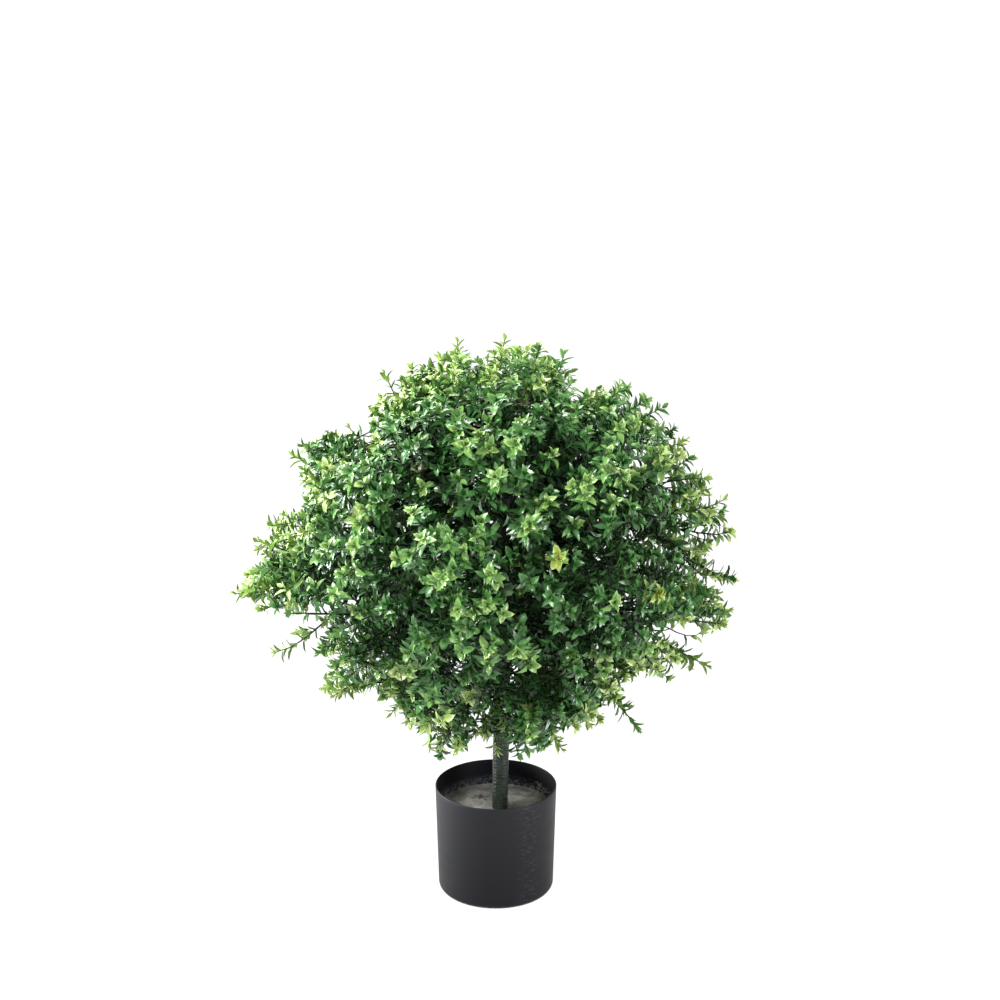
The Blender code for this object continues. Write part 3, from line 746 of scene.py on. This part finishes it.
# moulded soft polyethylene leaves: waxy satin skin with pale glints, each shot a shade apart from the next
leafFinish = {
    # painted shade: this darkest finish goes only to leaves deep in the hollows
    "shadeGreen": {"dark": "#182b14", "light": "#254020", "roughness": 0.34, "gloss": 0.36},
    "old": {"dark": "#1f3818", "light": "#2d5025", "roughness": 0.27, "gloss": 0.50},
    "deep": {"dark": "#264821", "light": "#345e2e", "roughness": 0.26},
    "green": {"dark": "#36622d", "light": "#49793c", "roughness": 0.28},
    "light": {"dark": "#50773a", "light": "#668b48", "roughness": 0.27},
    "fresh": {"dark": "#5d8238", "light": "#719548", "roughness": 0.28},
    "rim": {"dark": "#7d994b", "light": "#94ab60", "roughness": 0.30, "gloss": 0.50},
    # painted light: the palest finish, given to outline sprays as if lit from behind
    "tip": {"dark": "#9fb175", "light": "#b6c58f", "roughness": 0.34, "gloss": 0.50},
    "olive": {"dark": "#6c7926", "light": "#848f35", "roughness": 0.36, "gloss": 0.46},
    # painted shade: a darker copy of the olive finish, for olive sprigs inside the crown
    "shadedOlive": {"dark": "#34451a", "light": "#485a24", "roughness": 0.38},
}
leafKinds = list(leafFinish)
stemFinish = {"dark": "#10190c", "light": "#1c2c13", "roughness": 0.56, "gloss": 0.16}
mouldedFinish = {"ior": 1.51, "gloss": 0.58, "blotch": (0.34, 0.66), "smoother": -0.07, "rougher": 0.10,
                 "peel": (1.6, 1.0, 0.4)}


def moulded(name, finish, pitch, peelDepth):
    # a soft blotch of two near greens, pitch mm apart, and a faint orange peel
    s = mouldedFinish
    gloss = finish.get("gloss", s["gloss"])
    material, tree, shader, place = newMaterial(name, {"IOR": s["ior"], "Specular IOR Level": gloss})
    blotch = addNode(tree, "TexNoise", {"Scale": 1000 / pitch, "Detail": 2.0}, {"Vector": place})
    stops = tuple(zip(s["blotch"], (finish["dark"], finish["light"])))
    colour = addNode(tree, "ValToRGB", {"stops": stops}, {"Fac": blotch})
    sheen = {"To Min": finish["roughness"] + s["smoother"], "To Max": finish["roughness"] + s["rougher"]}
    satin = addNode(tree, "MapRange", sheen, {"Value": blotch})
    linkInto(tree, shader, {"Base Color": colour, "Roughness": satin})
    grained(tree, shader, place, *s["peel"], peelDepth)
    return material


leafMaterials = [moulded(f"mouldedLeafPolyethylene_{kind}", leafFinish[kind], pitch=17, peelDepth=0.0003)
                 for kind in leafKinds]
stemMaterial = moulded("mouldedStemPolyethylene", stemFinish, pitch=9, peelDepth=0.0002)

# colour of each band of leaves from the tip in: (heart, rim or tip), by the tone of the sprig
toneTable = {
    "shade": (("green", "green"), ("deep", "green"), ("deep", "deep"), ("deep", "deep"), ("old", "old")),
    "cool": (("green", "light"), ("green", "light"), ("green", "green"), ("deep", "deep"), ("old", "old")),
    "plain": (("light", "light"), ("green", "light"), ("green", "green"), ("green", "green"),
              ("deep", "deep")),
    "bright": (("light", "rim"), ("light", "fresh"), ("green", "light"), ("green", "green"),
               ("deep", "deep")),
    # painted light: dealt only on the outline, palest at the tip, as if lit from behind
    "pale": (("rim", "tip"), ("rim", "tip"), ("fresh", "rim"), ("light", "fresh"), ("green", "light")),
    "olive": (("olive", "rim"), ("olive", "rim"), ("light", "olive"), ("green", "green"), ("deep", "deep")),
    # painted shade: darkens the sprigs that end deep in a hollow
    "cave": (("deep", "green"), ("deep", "deep"), ("old", "old"), ("shadeGreen", "shadeGreen"), ("shadeGreen", "shadeGreen")),
    "inner": (("green", "green"), ("green", "green"), ("deep", "deep"), ("deep", "deep"), ("old", "old")),
    # painted shade: darkens the inner sprigs in a hollow
    "innerDark": (("old", "old"), ("old", "old"), ("shadeGreen", "shadeGreen"), ("shadeGreen", "shadeGreen"), ("shadeGreen", "shadeGreen")),
    # painted shade: olive sprigs inside the crown take the darker copy of olive
    "innerOlive": (("shadedOlive", "olive"), ("shadedOlive", "shadedOlive"), ("shadedOlive", "shadedOlive"), ("old", "old"), ("old", "old")),
}


def leafSlots(leaf, kinds, sprigTones):
    # heart and rim material numbers of each leaf, by bands down its sprig; slender ones stay light for longer
    order = list(toneTable)
    table = np.array([[[leafKinds.index(k) for k in pair] for pair in toneTable[tone]] for tone in order])
    stretch = np.where(np.isin(kinds, ("tuft", "slender")), leaves["slenderStretch"], 1.0)[leaf["sprig"]]
    band = np.searchsorted(leaves["bands"], leaf["down"] / stretch)
    return table[np.array([order.index(tone) for tone in sprigTones])[leaf["sprig"]], band]


masses = layOutMasses()
allSprigs = [(number, *sprig) for number, mass in enumerate(masses)
             for sprig in sprigsOf(mass, masses, np.random.default_rng((twigs["seed"], number)))]
sprigMass, sprigKinds, sprigControls, sprigTones = (np.array(column) for column in zip(*allSprigs))
leaf = leavesOnSprigs(sprigKinds, sprigControls, np.random.default_rng(leaves["seed"]))
slots = leafSlots(leaf, sprigKinds, sprigTones)
print("sprigs", len(allSprigs), "leaves", len(leaf["root"]))

leafGroups = {}
for number, mass in enumerate(masses):
    ring = "upper" if mass.ring == "top" else mass.ring
    half = "front" if mass.direction[1] < 1e-6 else "back"  # sideways and upwards count as front
    leafGroups.setdefault(f"leaves_{ring}_{half}", []).append(number)

inner = (sprigKinds == "inner")[leaf["sprig"]] | (leaf["down"] > leaves["outerTo"])
rimmed = ~inner & (leaf["down"] < leaves["rimmedTo"]) & (slots[:, 0] != slots[:, 1])
leafShapes = ((leafTemplate(innerOutline, False), inner),
              (leafTemplate(outerOutline, False, tipped=True), ~inner & ~rimmed),
              (leafTemplate(outerOutline, True), rimmed))
for name, numbers in leafGroups.items():
    inGroup = np.isin(sprigMass[leaf["sprig"]], numbers)
    points, triangles, faceSlots, offset = [], [], [], 0
    for template, chosen in leafShapes:
        chosen = chosen & inGroup
        p, t = placeLeaves(template, {key: value[chosen] for key, value in leaf.items()})
        heart, rim = slots[chosen, :1], slots[chosen, 1:]
        faceSlots.append(np.where(template[2], rim, heart).ravel())
        points.append(p)
        triangles.append(t + offset)
        offset += len(p)
    piece = meshFromTriangles(name, np.concatenate(points), np.concatenate(triangles), leafMaterials,
                              np.concatenate(faceSlots), sharpAngle=60)
    settle(piece, "leaves", *[f"foliage_{masses[n].name}" for n in numbers])
    print(name, sum(len(t) for t in triangles), "triangles")

# twig wires in their plastic sleeves, and the stem of each mass
shares = np.linspace(0, 1, twigs["steps"] + 1)
twigPaths = bezier(sprigControls, twigs["steps"])
stemPaths = np.array([np.linspace(m.stemRoot, m.stemTip, twigs["steps"] + 1) for m in masses])
ends = np.array([twigs["radii"][kind] for kind in [*sprigKinds, *["stem"] * len(masses)]])
twigRadii = ends[:, :1] + (ends[:, 1:] - ends[:, :1]) * shares
p, t = tubesAlong(np.concatenate([twigPaths, stemPaths]), twigRadii, twigs["tubeSides"])
settle(meshFromTriangles("twigs", p, t, [stemMaterial], sharpAngle=100), "stems",
       *[f"foliage_{m.name}" for m in masses])
print("twigs", len(t), "triangles")


# boughs: sleeved wires with a fine ribbing

boughs = {"radii": (0.0032, 0.0022), "steps": 40, "sides": 12, "ribs": 26, "ribDepth": 0.00022}
boughPaths = bezier(np.array([boughControls(m) for m in masses]), boughs["steps"])
share = np.linspace(0, 1, boughs["steps"] + 1)
radius = boughs["radii"][0] + (boughs["radii"][1] - boughs["radii"][0]) * share
radius = radius + boughs["ribDepth"] * np.sin(share * boughs["ribs"] * math.pi)
p, t = tubesAlong(boughPaths, np.tile(radius, (len(masses), 1)), boughs["sides"])
settle(meshFromTriangles("boughs", p, t, [stemMaterial], sharpAngle=50), "stems",
       *[f"bough_{m.name}" for m in masses])
print("boughs", len(t), "triangles")


# trunk: a moulded bark sleeve

def buildTrunk():
    # ring at each height: radius + rings every few mm, a wavy grain, and three upright rows of short nicks
    s = trunk
    heights = np.concatenate([np.arange(s["fill"], s["fineTop"], s["fineStep"]),
                              np.arange(s["fineTop"], s["tip"], s["coarseStep"]), [s["tip"]]])
    h, t = np.meshgrid(heights, turnsOf(s["columns"]), indexing="ij")
    spokes = np.stack([np.cos(t), np.sin(t), 0 * t], -1)
    skin = trunkCentre(h) + trunkRadius(h)[..., None] * spokes
    wander = s["wander"] * ripple(skin, s["wanderPitch"], 3)
    rings = -s["ringDepth"] * np.clip(np.cos(2 * math.pi * (h / s["ringPitch"] + wander)), s["ringFloor"], 1)
    grain = s["grainDepth"] * ripple(skin * (1, 1, s["grainStretch"]), s["grainPitch"], 4)
    nicks = 0 * h
    for azimuth, phase in s["nickRows"]:
        middle = math.radians(azimuth) + s["nickSway"] * np.sin(h * s["swayWaves"] + phase)
        off = (t - middle + math.pi) % (2 * math.pi) - math.pi
        uneven = phase + s["nickUneven"] * np.sin(h * s["unevenWaves"])
        beat = np.clip(np.cos(2 * math.pi * (h / s["nickPitch"] + uneven)) - s["nickShort"], 0, 1)
        nicks -= s["nickDepth"] * np.exp(-(off / s["nickWidth"]) ** 2) * beat
    skin = skin + (rings + grain + nicks)[..., None] * spokes
    # painted shade: the rings and nicks are darkened through the recess value
    dark = -rings / s["ringDepth"] * s["ringShade"] - nicks / s["nickDepth"] * s["nickShade"]
    points = np.concatenate([skin.reshape(-1, 3), trunkCentre([heights[0], heights[-1]])])
    return points, closedTriangles(*h.shape), np.clip(np.concatenate([dark.ravel(), [0, 0]]), 0, 1)


# PVC bark sleeve, moulded and matt: grey green in random streaks, with painted shade in the rings and nicks
bark = {"ior": 1.53, "gloss": 0.40, "streakStretch": (1, 1, 0.35), "streakPitch": 5, "recessShade": -0.55,
        "stops": ((0.0, "#090d09"), (0.25, "#141b14"), (0.48, "#202a20"), (0.75, "#38453a")),
        "roughness": (0.38, 0.62), "specks": (0.9, 2.0, 0.5, 0.0003)}
s = bark
barkMaterial, tree, shader, place = newMaterial("mouldedBarkPVC", {
    "IOR": s["ior"], "Specular IOR Level": s["gloss"]})
flat = addNode(tree, "Mapping", {"Scale": s["streakStretch"]}, {"Vector": place})
streak = addNode(tree, "TexNoise", {"Scale": 1000 / s["streakPitch"], "Detail": 3.0}, {"Vector": flat})
recess = addNode(tree, "Attribute", {"attribute_name": "recess"})
lit = addNode(tree, "Math", {"operation": "MULTIPLY_ADD", 1: s["recessShade"]},
              {0: recess.outputs["Fac"], 2: streak})
colour = addNode(tree, "ValToRGB", {"stops": s["stops"]}, {"Fac": lit})
rub = addNode(tree, "MapRange", {"To Min": s["roughness"][0], "To Max": s["roughness"][1]}, {"Value": streak})
linkInto(tree, shader, {"Base Color": colour, "Roughness": rub})
grained(tree, shader, place, *s["specks"])
p, t, recess = buildTrunk()
settle(meshFromTriangles("trunkBark", p, t, [barkMaterial], sharpAngle=60, recess=recess), "trunk", "trunk")
print("trunk", len(t), "triangles")


# pot: thin blow-moulded shell

pot = {"height": 0.117, "rimRadius": 0.0637, "footRadius": 0.0608, "footRound": 0.0072, "wall": 0.0016,
       "floor": 0.0024, "columns": 160, "roundSteps": 8, "wallRows": 16, "lipSteps": 8, "floorRingShare": 0.5}


def quarterRound(radius, start, height, steps):
    # radii and heights of an arc that leaves a flat floor and ends upright
    a = np.linspace(0, math.pi / 2, steps + 1)
    return start + radius * np.sin(a), height + radius * (1 - np.cos(a))


def buildPot():
    # flat underside, quarter round, slightly flared wall, half-round lip, then the same inside, one wall in
    s = pot
    start = s["footRadius"] - s["footRound"]
    outR, outZ = quarterRound(s["footRound"], start, 0, s["roundSteps"])
    inR, inZ = quarterRound(s["footRound"] - s["wall"], start, s["floor"], s["roundSteps"])
    lip = s["wall"] / 2
    top = s["height"] - lip
    share = np.linspace(0, 1, s["wallRows"] + 1)[1:]
    wallR = s["footRadius"] + (s["rimRadius"] - s["footRadius"]) * share
    wallZ = s["footRound"] + (top - s["footRound"]) * share
    half = np.linspace(0, math.pi, s["lipSteps"] + 1)[1:]
    lipR = s["rimRadius"] - lip + lip * np.cos(half)
    lipZ = top + lip * np.sin(half)
    backR, backZ = (wallR - s["wall"])[:-1][::-1], wallZ[:-1][::-1]
    first = [start * s["floorRingShare"]]
    radii = np.concatenate([first, outR, wallR, lipR, backR, inR[::-1], first])
    heights = np.concatenate([[0], outZ, wallZ, lipZ, backZ, inZ[::-1], [s["floor"]]])
    return turnedSkin(radii, heights, s["columns"])


# carbon-black polypropylene, satin: nearly black, so most of what is seen is soft reflection of the room;
# handling dust lies in faint smudges at the right of the front, and cement dust inside above the fill
potFinish = {"ior": 1.49, "tint": "#f4f6ff", "stops": ((0.0, "#08080b"), (1.0, "#62646a")),
             "smearStretch": (1, 1, 2.4), "smudgePitch": 6, "powderPitch": 3, "wipePitch": 30,
             # metres over which the dust fades in: towards the right, in from its right edge, towards the
             # front, and down to the fill; then the noise levels between which smudges and powder show
             "right": (0.018, 0.030), "edge": (0.050, 0.040), "front": (-0.030, -0.048),
             "low": (0.1010, 0.0885), "dusty": (0.50, 0.72), "patchy": (0.42, 0.72), "dustStrength": 0.14,
             # the wall flares 26 mm in a metre: past this sloping limit lies the outer face
             "flare": -0.0264, "innerLimit": 0.0598,
             "roughness": (0.46, 0.60), "footShadeGloss": (0.20, 0.34), "footShadeTop": 0.110, "insideShade": -0.6,
             "grain": (0.8, 1.0, 0.15, 0.0002)}
s = potFinish
potMaterial, tree, shader, place = newMaterial("mouldedBlackPolypropylene", {
    "IOR": s["ior"], "Specular Tint": linearColour(s["tint"])})
split = addNode(tree, "SeparateXYZ", {}, {"Vector": place})
smear = addNode(tree, "Mapping", {"Scale": s["smearStretch"]}, {"Vector": place})
smudge = addNode(tree, "TexNoise", {"Scale": 1000 / s["smudgePitch"], "Detail": 3.0, "Roughness": 0.6},
                 {"Vector": smear})
powder = addNode(tree, "TexNoise", {"Scale": 1000 / s["powderPitch"], "Detail": 4.0, "Roughness": 0.7},
                 {"Vector": place})
masks = {}
for name, source in (("right", split.outputs["X"]), ("edge", split.outputs["X"]),
                     ("front", split.outputs["Y"]), ("low", split.outputs["Z"]), ("dusty", smudge),
                     ("patchy", powder)):
    start, end = s[name]
    masks[name] = addNode(tree, "MapRange", {"From Min": start, "From Max": end}, {"Value": source})
flat = addNode(tree, "CombineXYZ", {}, {"X": split.outputs["X"], "Y": split.outputs["Y"]})
fromAxis = addNode(tree, "VectorMath", {"operation": "LENGTH"}, {0: flat})
slope = addNode(tree, "Math", {"operation": "MULTIPLY_ADD", 1: s["flare"]},
                {0: split.outputs["Z"], 2: fromAxis.outputs["Value"]})
masks["inside"] = addNode(tree, "Math", {"operation": "LESS_THAN", 1: s["innerLimit"]}, {0: slope})
for name, factors in (("dust", ("right", "front", "edge", "dusty")), ("bloom", ("inside", "low", "patchy"))):
    masks[name] = masks[factors[0]]
    for factor in factors[1:]:
        masks[name] = addNode(tree, "Math", {"operation": "MULTIPLY"}, {0: masks[name], 1: masks[factor]})
both = addNode(tree, "Math", {"operation": "MULTIPLY_ADD", 1: s["dustStrength"]},
               {0: masks["dust"], 2: masks["bloom"]})
colour = addNode(tree, "ValToRGB", {"stops": s["stops"]}, {"Fac": both})
wipe = addNode(tree, "TexNoise", {"Scale": 1000 / s["wipePitch"], "Detail": 3.0}, {"Vector": smear})
satin = addNode(tree, "MapRange", {"To Min": s["roughness"][0], "To Max": s["roughness"][1]}, {"Value": wipe})
# painted shade: the wall reflects less towards the foot, and the inner face less again, so both read darker
upWall = {"From Min": 0.0, "From Max": s["footShadeTop"], "To Min": s["footShadeGloss"][0], "To Max": s["footShadeGloss"][1]}
footShadeGloss = addNode(tree, "MapRange", upWall, {"Value": split.outputs["Z"]})
insideShade = addNode(tree, "Math", {"operation": "MULTIPLY_ADD", 1: s["insideShade"], 2: 1.0},
                     {0: masks["inside"]})
sheen = addNode(tree, "Math", {"operation": "MULTIPLY"}, {0: footShadeGloss, 1: insideShade})
linkInto(tree, shader, {"Base Color": colour, "Roughness": satin, "Specular IOR Level": sheen})
grained(tree, shader, place, *s["grain"])
p, t = buildPot()
settle(meshFromTriangles("potShell", p, t, [potMaterial], sharpAngle=40), "pot", "pot")
print("pot", len(t), "triangles")


# cement fill: trowelled by hand, with a lip against wall and trunk and a dried mark left of the trunk

cement = {
    "level": 0.0887, "bottom": 0.0027, "gap": 2 * crown["seatGap"], "rings": 90, "innermost": 0.004,
    "columns": 168, "roundSteps": 6,
    # lips: height and width, against the wall and round the trunk
    "wallLip": (0.0009, 0.0022), "trunkLip": (0.0014, 0.0020),
    # ripples of the surface: height, wavelength and seed
    "ripples": ((0.0006, 0.030, 11), (0.00022, 0.0042, 12), (0.6 * 0.00022, 0.0021, 13)),
    # the mark: its place, and the ridges that cross there with turn, half length, half width and height
    "mark": (-0.0165, 0.0265), "markFlat": 1.4,
    "ridges": ((0.35, 0.0115, 0.0011, 0.0013), (2.4, 0.0095, 0.0012, 0.0012), (1.2, 0.0065, 0.0014, 0.0010)),
    # lumps beside the trunk: place, size and height
    "lumps": ((0.0175, 0.0130, 0.0026, 0.0011), (0.0225, 0.0190, 0.0018, 0.0009),
              (-0.0075, -0.0030, 0.0022, 0.0012), (-0.0110, 0.0060, 0.0014, 0.0008),
              (0.0290, 0.0080, 0.0016, 0.0007)),
    # painted shadow (over 0) behind the trunk, painted light (under 0) at the right: place, size and strength
    "lightAndShadowPatches": ((-0.008, 0.046, 0.017, 0.50), (0.004, 0.020, 0.013, 0.35), (0.030, 0.018, 0.015, -0.45)),
}


def innerRadius(height):
    # inner face of the pot's wall, straight from the top of the rounded foot to the rim
    share = (height - pot["footRound"]) / (pot["height"] - pot["footRound"])
    return pot["footRadius"] - pot["wall"] + (pot["rimRadius"] - pot["footRadius"]) * share


def hump(x, y, lump):
    # height x exp(-(distance from its place / size) squared)
    placeX, placeY, size, height = lump
    return height * np.exp(-((x - placeX) ** 2 + (y - placeY) ** 2) / size ** 2)


def fillSurface(x, y, edge):
    # rise and tone: lips of height x exp(-distance / width), ripples, the ridges of the damp mark, painted
    # shadow and light patches, and lumps
    s = cement
    fromWall = edge - np.hypot(x, y)
    fromTrunk = np.maximum(np.hypot(x - trunk["footX"], y) - trunk["radii"][0], 0)
    (wallLip, wallWidth), (trunkLip, trunkWidth) = s["wallLip"], s["trunkLip"]
    rise = wallLip * np.exp(-fromWall / wallWidth) + trunkLip * np.exp(-fromTrunk / trunkWidth)
    for depth, wavelength, seed in s["ripples"]:
        rise = rise + depth * ripple(np.stack([x, y, 0 * x], -1), wavelength, seed)
    dampAndShading = 0 * x
    markX, markY = x - s["mark"][0], y - s["mark"][1]
    for turn, length, width, height in s["ridges"]:
        u = markX * math.cos(turn) + markY * math.sin(turn)
        v = -markX * math.sin(turn) + markY * math.cos(turn)
        line = np.exp(-(v / width) ** 2) * np.clip(s["markFlat"] - (u / length) ** 2, 0, 1)
        rise = rise + height * line
        dampAndShading += line
    for patch in s["lightAndShadowPatches"]:
        dampAndShading += hump(x, y, patch)
    for lump in s["lumps"]:
        rise = rise + hump(x, y, lump)
    return rise, dampAndShading


def buildFill():
    # floor and rounded foot inside the pot, up to the edge of the surface, then rings in to the middle
    s = cement
    start = pot["footRadius"] - pot["footRound"]
    inner = pot["footRound"] - pot["wall"] - s["gap"]
    skirtR, skirtZ = quarterRound(inner, start, s["bottom"], s["roundSteps"])
    edge = innerRadius(s["level"]) - s["gap"]
    surface = edge * np.linspace(1, s["innermost"], s["rings"])
    radii = np.concatenate([[start * pot["floorRingShare"]], skirtR, surface])
    heights = np.concatenate([[s["bottom"]], skirtZ, np.full(len(surface), s["level"])])
    dampAndShading = np.zeros((len(radii), s["columns"]))

    def relief(points):
        # only the rings of the surface are raised
        top = slice(len(radii) - len(surface), None)
        rise, dampAndShading[top] = fillSurface(points[top, :, 0], points[top, :, 1], edge)
        points[top, :, 2] += rise
        return points

    p, t = turnedSkin(radii, heights, s["columns"], relief)
    return p, t, np.clip(np.concatenate([dampAndShading.ravel(), [0, 0]]), -1, 1)


# splashes: low domes of cement on the wall, most of them where the mix was poured in, at the back right

splashes = {
    "seed": 5, "count": 90, "pouredShare": 0.4, "pouredAzimuth": (37, 8), "pouredAbove": (0.0045, 0.0026),
    "above": (0, 0.0032), "least": 0.0006, "size": (0.0004, 0.0012), "pouredSize": 1.3, "fading": 0.010,
    "sunk": 0.0001, "base": 0.0003, "rho": (1.0, 0.8, 0.5, 0.2), "columns": 10, "stretch": (0.8, 1.9),
    "dome": 0.45, "wobbles": ((2, 0.3), (3, 0.2)),
}


def buildSplashes():
    # each rises as 1 - rho squared, and its outline wobbles by 1 + sum of share x sin(waves x angle)
    s = splashes
    rng = np.random.default_rng(s["seed"])
    count = s["count"]
    poured = rng.uniform(size=count) < s["pouredShare"]
    azimuth = np.radians(np.where(poured, rng.normal(*s["pouredAzimuth"], count), rng.uniform(0, 360, count)))
    above = np.where(poured, rng.normal(*s["pouredAbove"], count), rng.normal(*s["above"], count))
    above = np.abs(above) + s["least"]
    size = rng.uniform(*s["size"], count) * np.where(poured, s["pouredSize"], np.exp(-above / s["fading"]))
    height = cement["level"] + above
    wall = innerRadius(height) - s["sunk"]
    outward = np.stack([np.cos(azimuth), np.sin(azimuth), 0 * azimuth], -1)
    across = np.stack([-np.sin(azimuth), np.cos(azimuth), 0 * azimuth], -1)
    up = np.array([0, 0, 1.0])
    root = outward * wall[:, None] + up * height[:, None]
    r, f = np.meshgrid(s["rho"], turnsOf(s["columns"]), indexing="ij")
    wobble = 1
    for waves, part in s["wobbles"]:
        wobble = wobble + part * np.sin(waves * f[None] + rng.uniform(0, 6, (count, 1, 1)))
    spread = r[None] * wobble * size[:, None, None]
    stretch = rng.uniform(*s["stretch"], count)[:, None, None]
    rise = (1 - r[None] ** 2) * size[:, None, None] * s["dome"]
    shell = (root[:, None, None] + (spread * np.cos(f))[..., None] * across[:, None, None]
             + (spread * stretch * np.sin(f))[..., None] * up - rise[..., None] * outward[:, None, None])
    peak = root - outward * (size * s["dome"])[:, None]
    base = root + outward * s["base"]
    points = np.concatenate([shell.reshape(count, -1, 3), base[:, None], peak[:, None]], 1)
    one = closedTriangles(len(s["rho"]), s["columns"])[:, ::-1]
    return points.reshape(-1, 3), repeated(one, count, points.shape[1])


# grey Portland cement, cast and dried: chalky, with sand grains, blotches, pinholes and a darker damp mark,
# and painted shadow and light in patches
cementFinish = {"ior": 1.5, "roughness": 0.93, "patchPitch": 9, "sandPitch": 1.1, "sandShare": 0.35,
                "dampShade": -0.55, "bump": 0.6, "bumpDepth": 0.0004,
                "stops": ((0.10, "#232320"), (0.45, "#4b4b44"), (0.66, "#62615b"), (0.88, "#85837b"))}
s = cementFinish
cementMaterial, tree, shader, place = newMaterial("driedPortlandCement", {
    "IOR": s["ior"], "Roughness": s["roughness"]})
patch = addNode(tree, "TexNoise", {"Scale": 1000 / s["patchPitch"], "Detail": 6.0, "Roughness": 0.68},
                {"Vector": place})
sand = addNode(tree, "TexNoise", {"Scale": 1000 / s["sandPitch"], "Detail": 2.0}, {"Vector": place})
mixed = addNode(tree, "Math", {"operation": "MULTIPLY_ADD", 1: s["sandShare"]}, {0: sand, 2: patch})
# the recess value: darker at the mark, painted shadow behind the trunk, painted light at the right
dampAndShading = addNode(tree, "Attribute", {"attribute_name": "recess"})
mixed = addNode(tree, "Math", {"operation": "MULTIPLY_ADD", 1: s["dampShade"]},
                {0: dampAndShading.outputs["Fac"], 2: mixed})
colour = addNode(tree, "ValToRGB", {"stops": s["stops"]}, {"Fac": mixed})
bump = addNode(tree, "Bump", {"Strength": s["bump"], "Distance": s["bumpDepth"]}, {"Height": sand})
linkInto(tree, shader, {"Base Color": colour, "Normal": bump})
p, t, dampAndShading = buildFill()
settle(meshFromTriangles("cementSurface", p, t, [cementMaterial], sharpAngle=60, recess=dampAndShading), "cement",
       "cement_fill")
p, t = buildSplashes()
settle(meshFromTriangles("cementSplashes", p, t, [cementMaterial], sharpAngle=70), "cement")
print("cement done")


# studio: backlit white floor and white surround, a soft key light from the upper left, a fill from the
# right, a low one from the left side and one from behind

studio = {
    "floorHalf": 40.0, "floorDrop": 0.0002, "floorColour": "#3c3c3c", "floorGlow": 0.97,
    # the surround dims from low down to high up
    "surroundHeights": (0.10, 0.55), "surround": (1.0, 0.50),
    "lights": {"key": {"place": (-2.1, -1.1, 2.2), "size": 1.2, "power": 195.0},
               "fill": {"place": (2.0, -1.6, 1.0), "size": 1.2, "power": 70.0},
               "side": {"place": (-2.5, 0.55, 0.50), "size": 0.8, "power": 98.0},
               "back": {"place": (-0.9, 1.4, 2.6), "size": 2.2, "power": 165.0}},
    "camera": {"lens": 78.588, "sensor": 36.0, "place": (0.0043, -2.1076, 1.0804), "down": 17.163},
}

half = studio["floorHalf"]
corners = np.array([(-half, -half, 0), (half, -half, 0), (half, half, 0), (-half, half, 0)])
floorMaterial, tree, shader, place = newMaterial("backlitWhiteAcrylic", {
    "IOR": 1.45, "Roughness": 0.9, "Base Color": linearColour(studio["floorColour"]),
    "Emission Color": (1, 1, 1, 1), "Emission Strength": studio["floorGlow"]})
floor = meshFromTriangles("studioFloor", corners - (0, 0, studio["floorDrop"]), [(0, 1, 2), (0, 2, 3)],
                          [floorMaterial])
floor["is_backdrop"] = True

world = bpy.data.worlds.new("studioSurround")
bpy.context.scene.world = world
world.use_nodes = True
tree = world.node_tree
tree.nodes.clear()
coords = addNode(tree, "TexCoord")
skyway = addNode(tree, "SeparateXYZ", {}, {"Vector": coords.outputs["Generated"]})
(low, high), (lowGlow, highGlow) = studio["surroundHeights"], studio["surround"]
level = addNode(tree, "MapRange", {"From Min": low, "From Max": high, "To Min": lowGlow, "To Max": highGlow},
                {"Value": skyway.outputs["Z"]})
surround = addNode(tree, "Background", {"Color": (1, 1, 1, 1)}, {"Strength": level})
addNode(tree, "OutputWorld", {}, {"Surface": surround})

for name, setting in studio["lights"].items():
    light = bpy.data.lights.new(name + "Light", "AREA")
    light.shape, light.size, light.energy = "DISK", setting["size"], setting["power"]
    lamp = bpy.data.objects.new(name + "Light", light)
    bpy.context.scene.collection.objects.link(lamp)
    lamp.location = setting["place"]
    toCrown = mathutils.Vector(crown["centre"] - np.array(setting["place"]))
    lamp.rotation_euler = toCrown.to_track_quat("-Z", "Y").to_euler()

camera = bpy.data.cameras.new("photoCamera")
camera.lens, camera.sensor_width = studio["camera"]["lens"], studio["camera"]["sensor"]
cameraObject = bpy.data.objects.new("photoCamera", camera)
cameraObject.location = studio["camera"]["place"]
cameraObject.rotation_euler = (math.radians(90 - studio["camera"]["down"]), 0, 0)
bpy.context.scene.collection.objects.link(cameraObject)
bpy.context.scene.camera = cameraObject
bpy.context.scene.view_settings.view_transform = "Standard"
print("studio done")

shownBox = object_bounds()
for title, box in (("cad", cadBox), ("shown", shownBox)):
    print(title, [[round(v, 4) for v in corner] for corner in box])
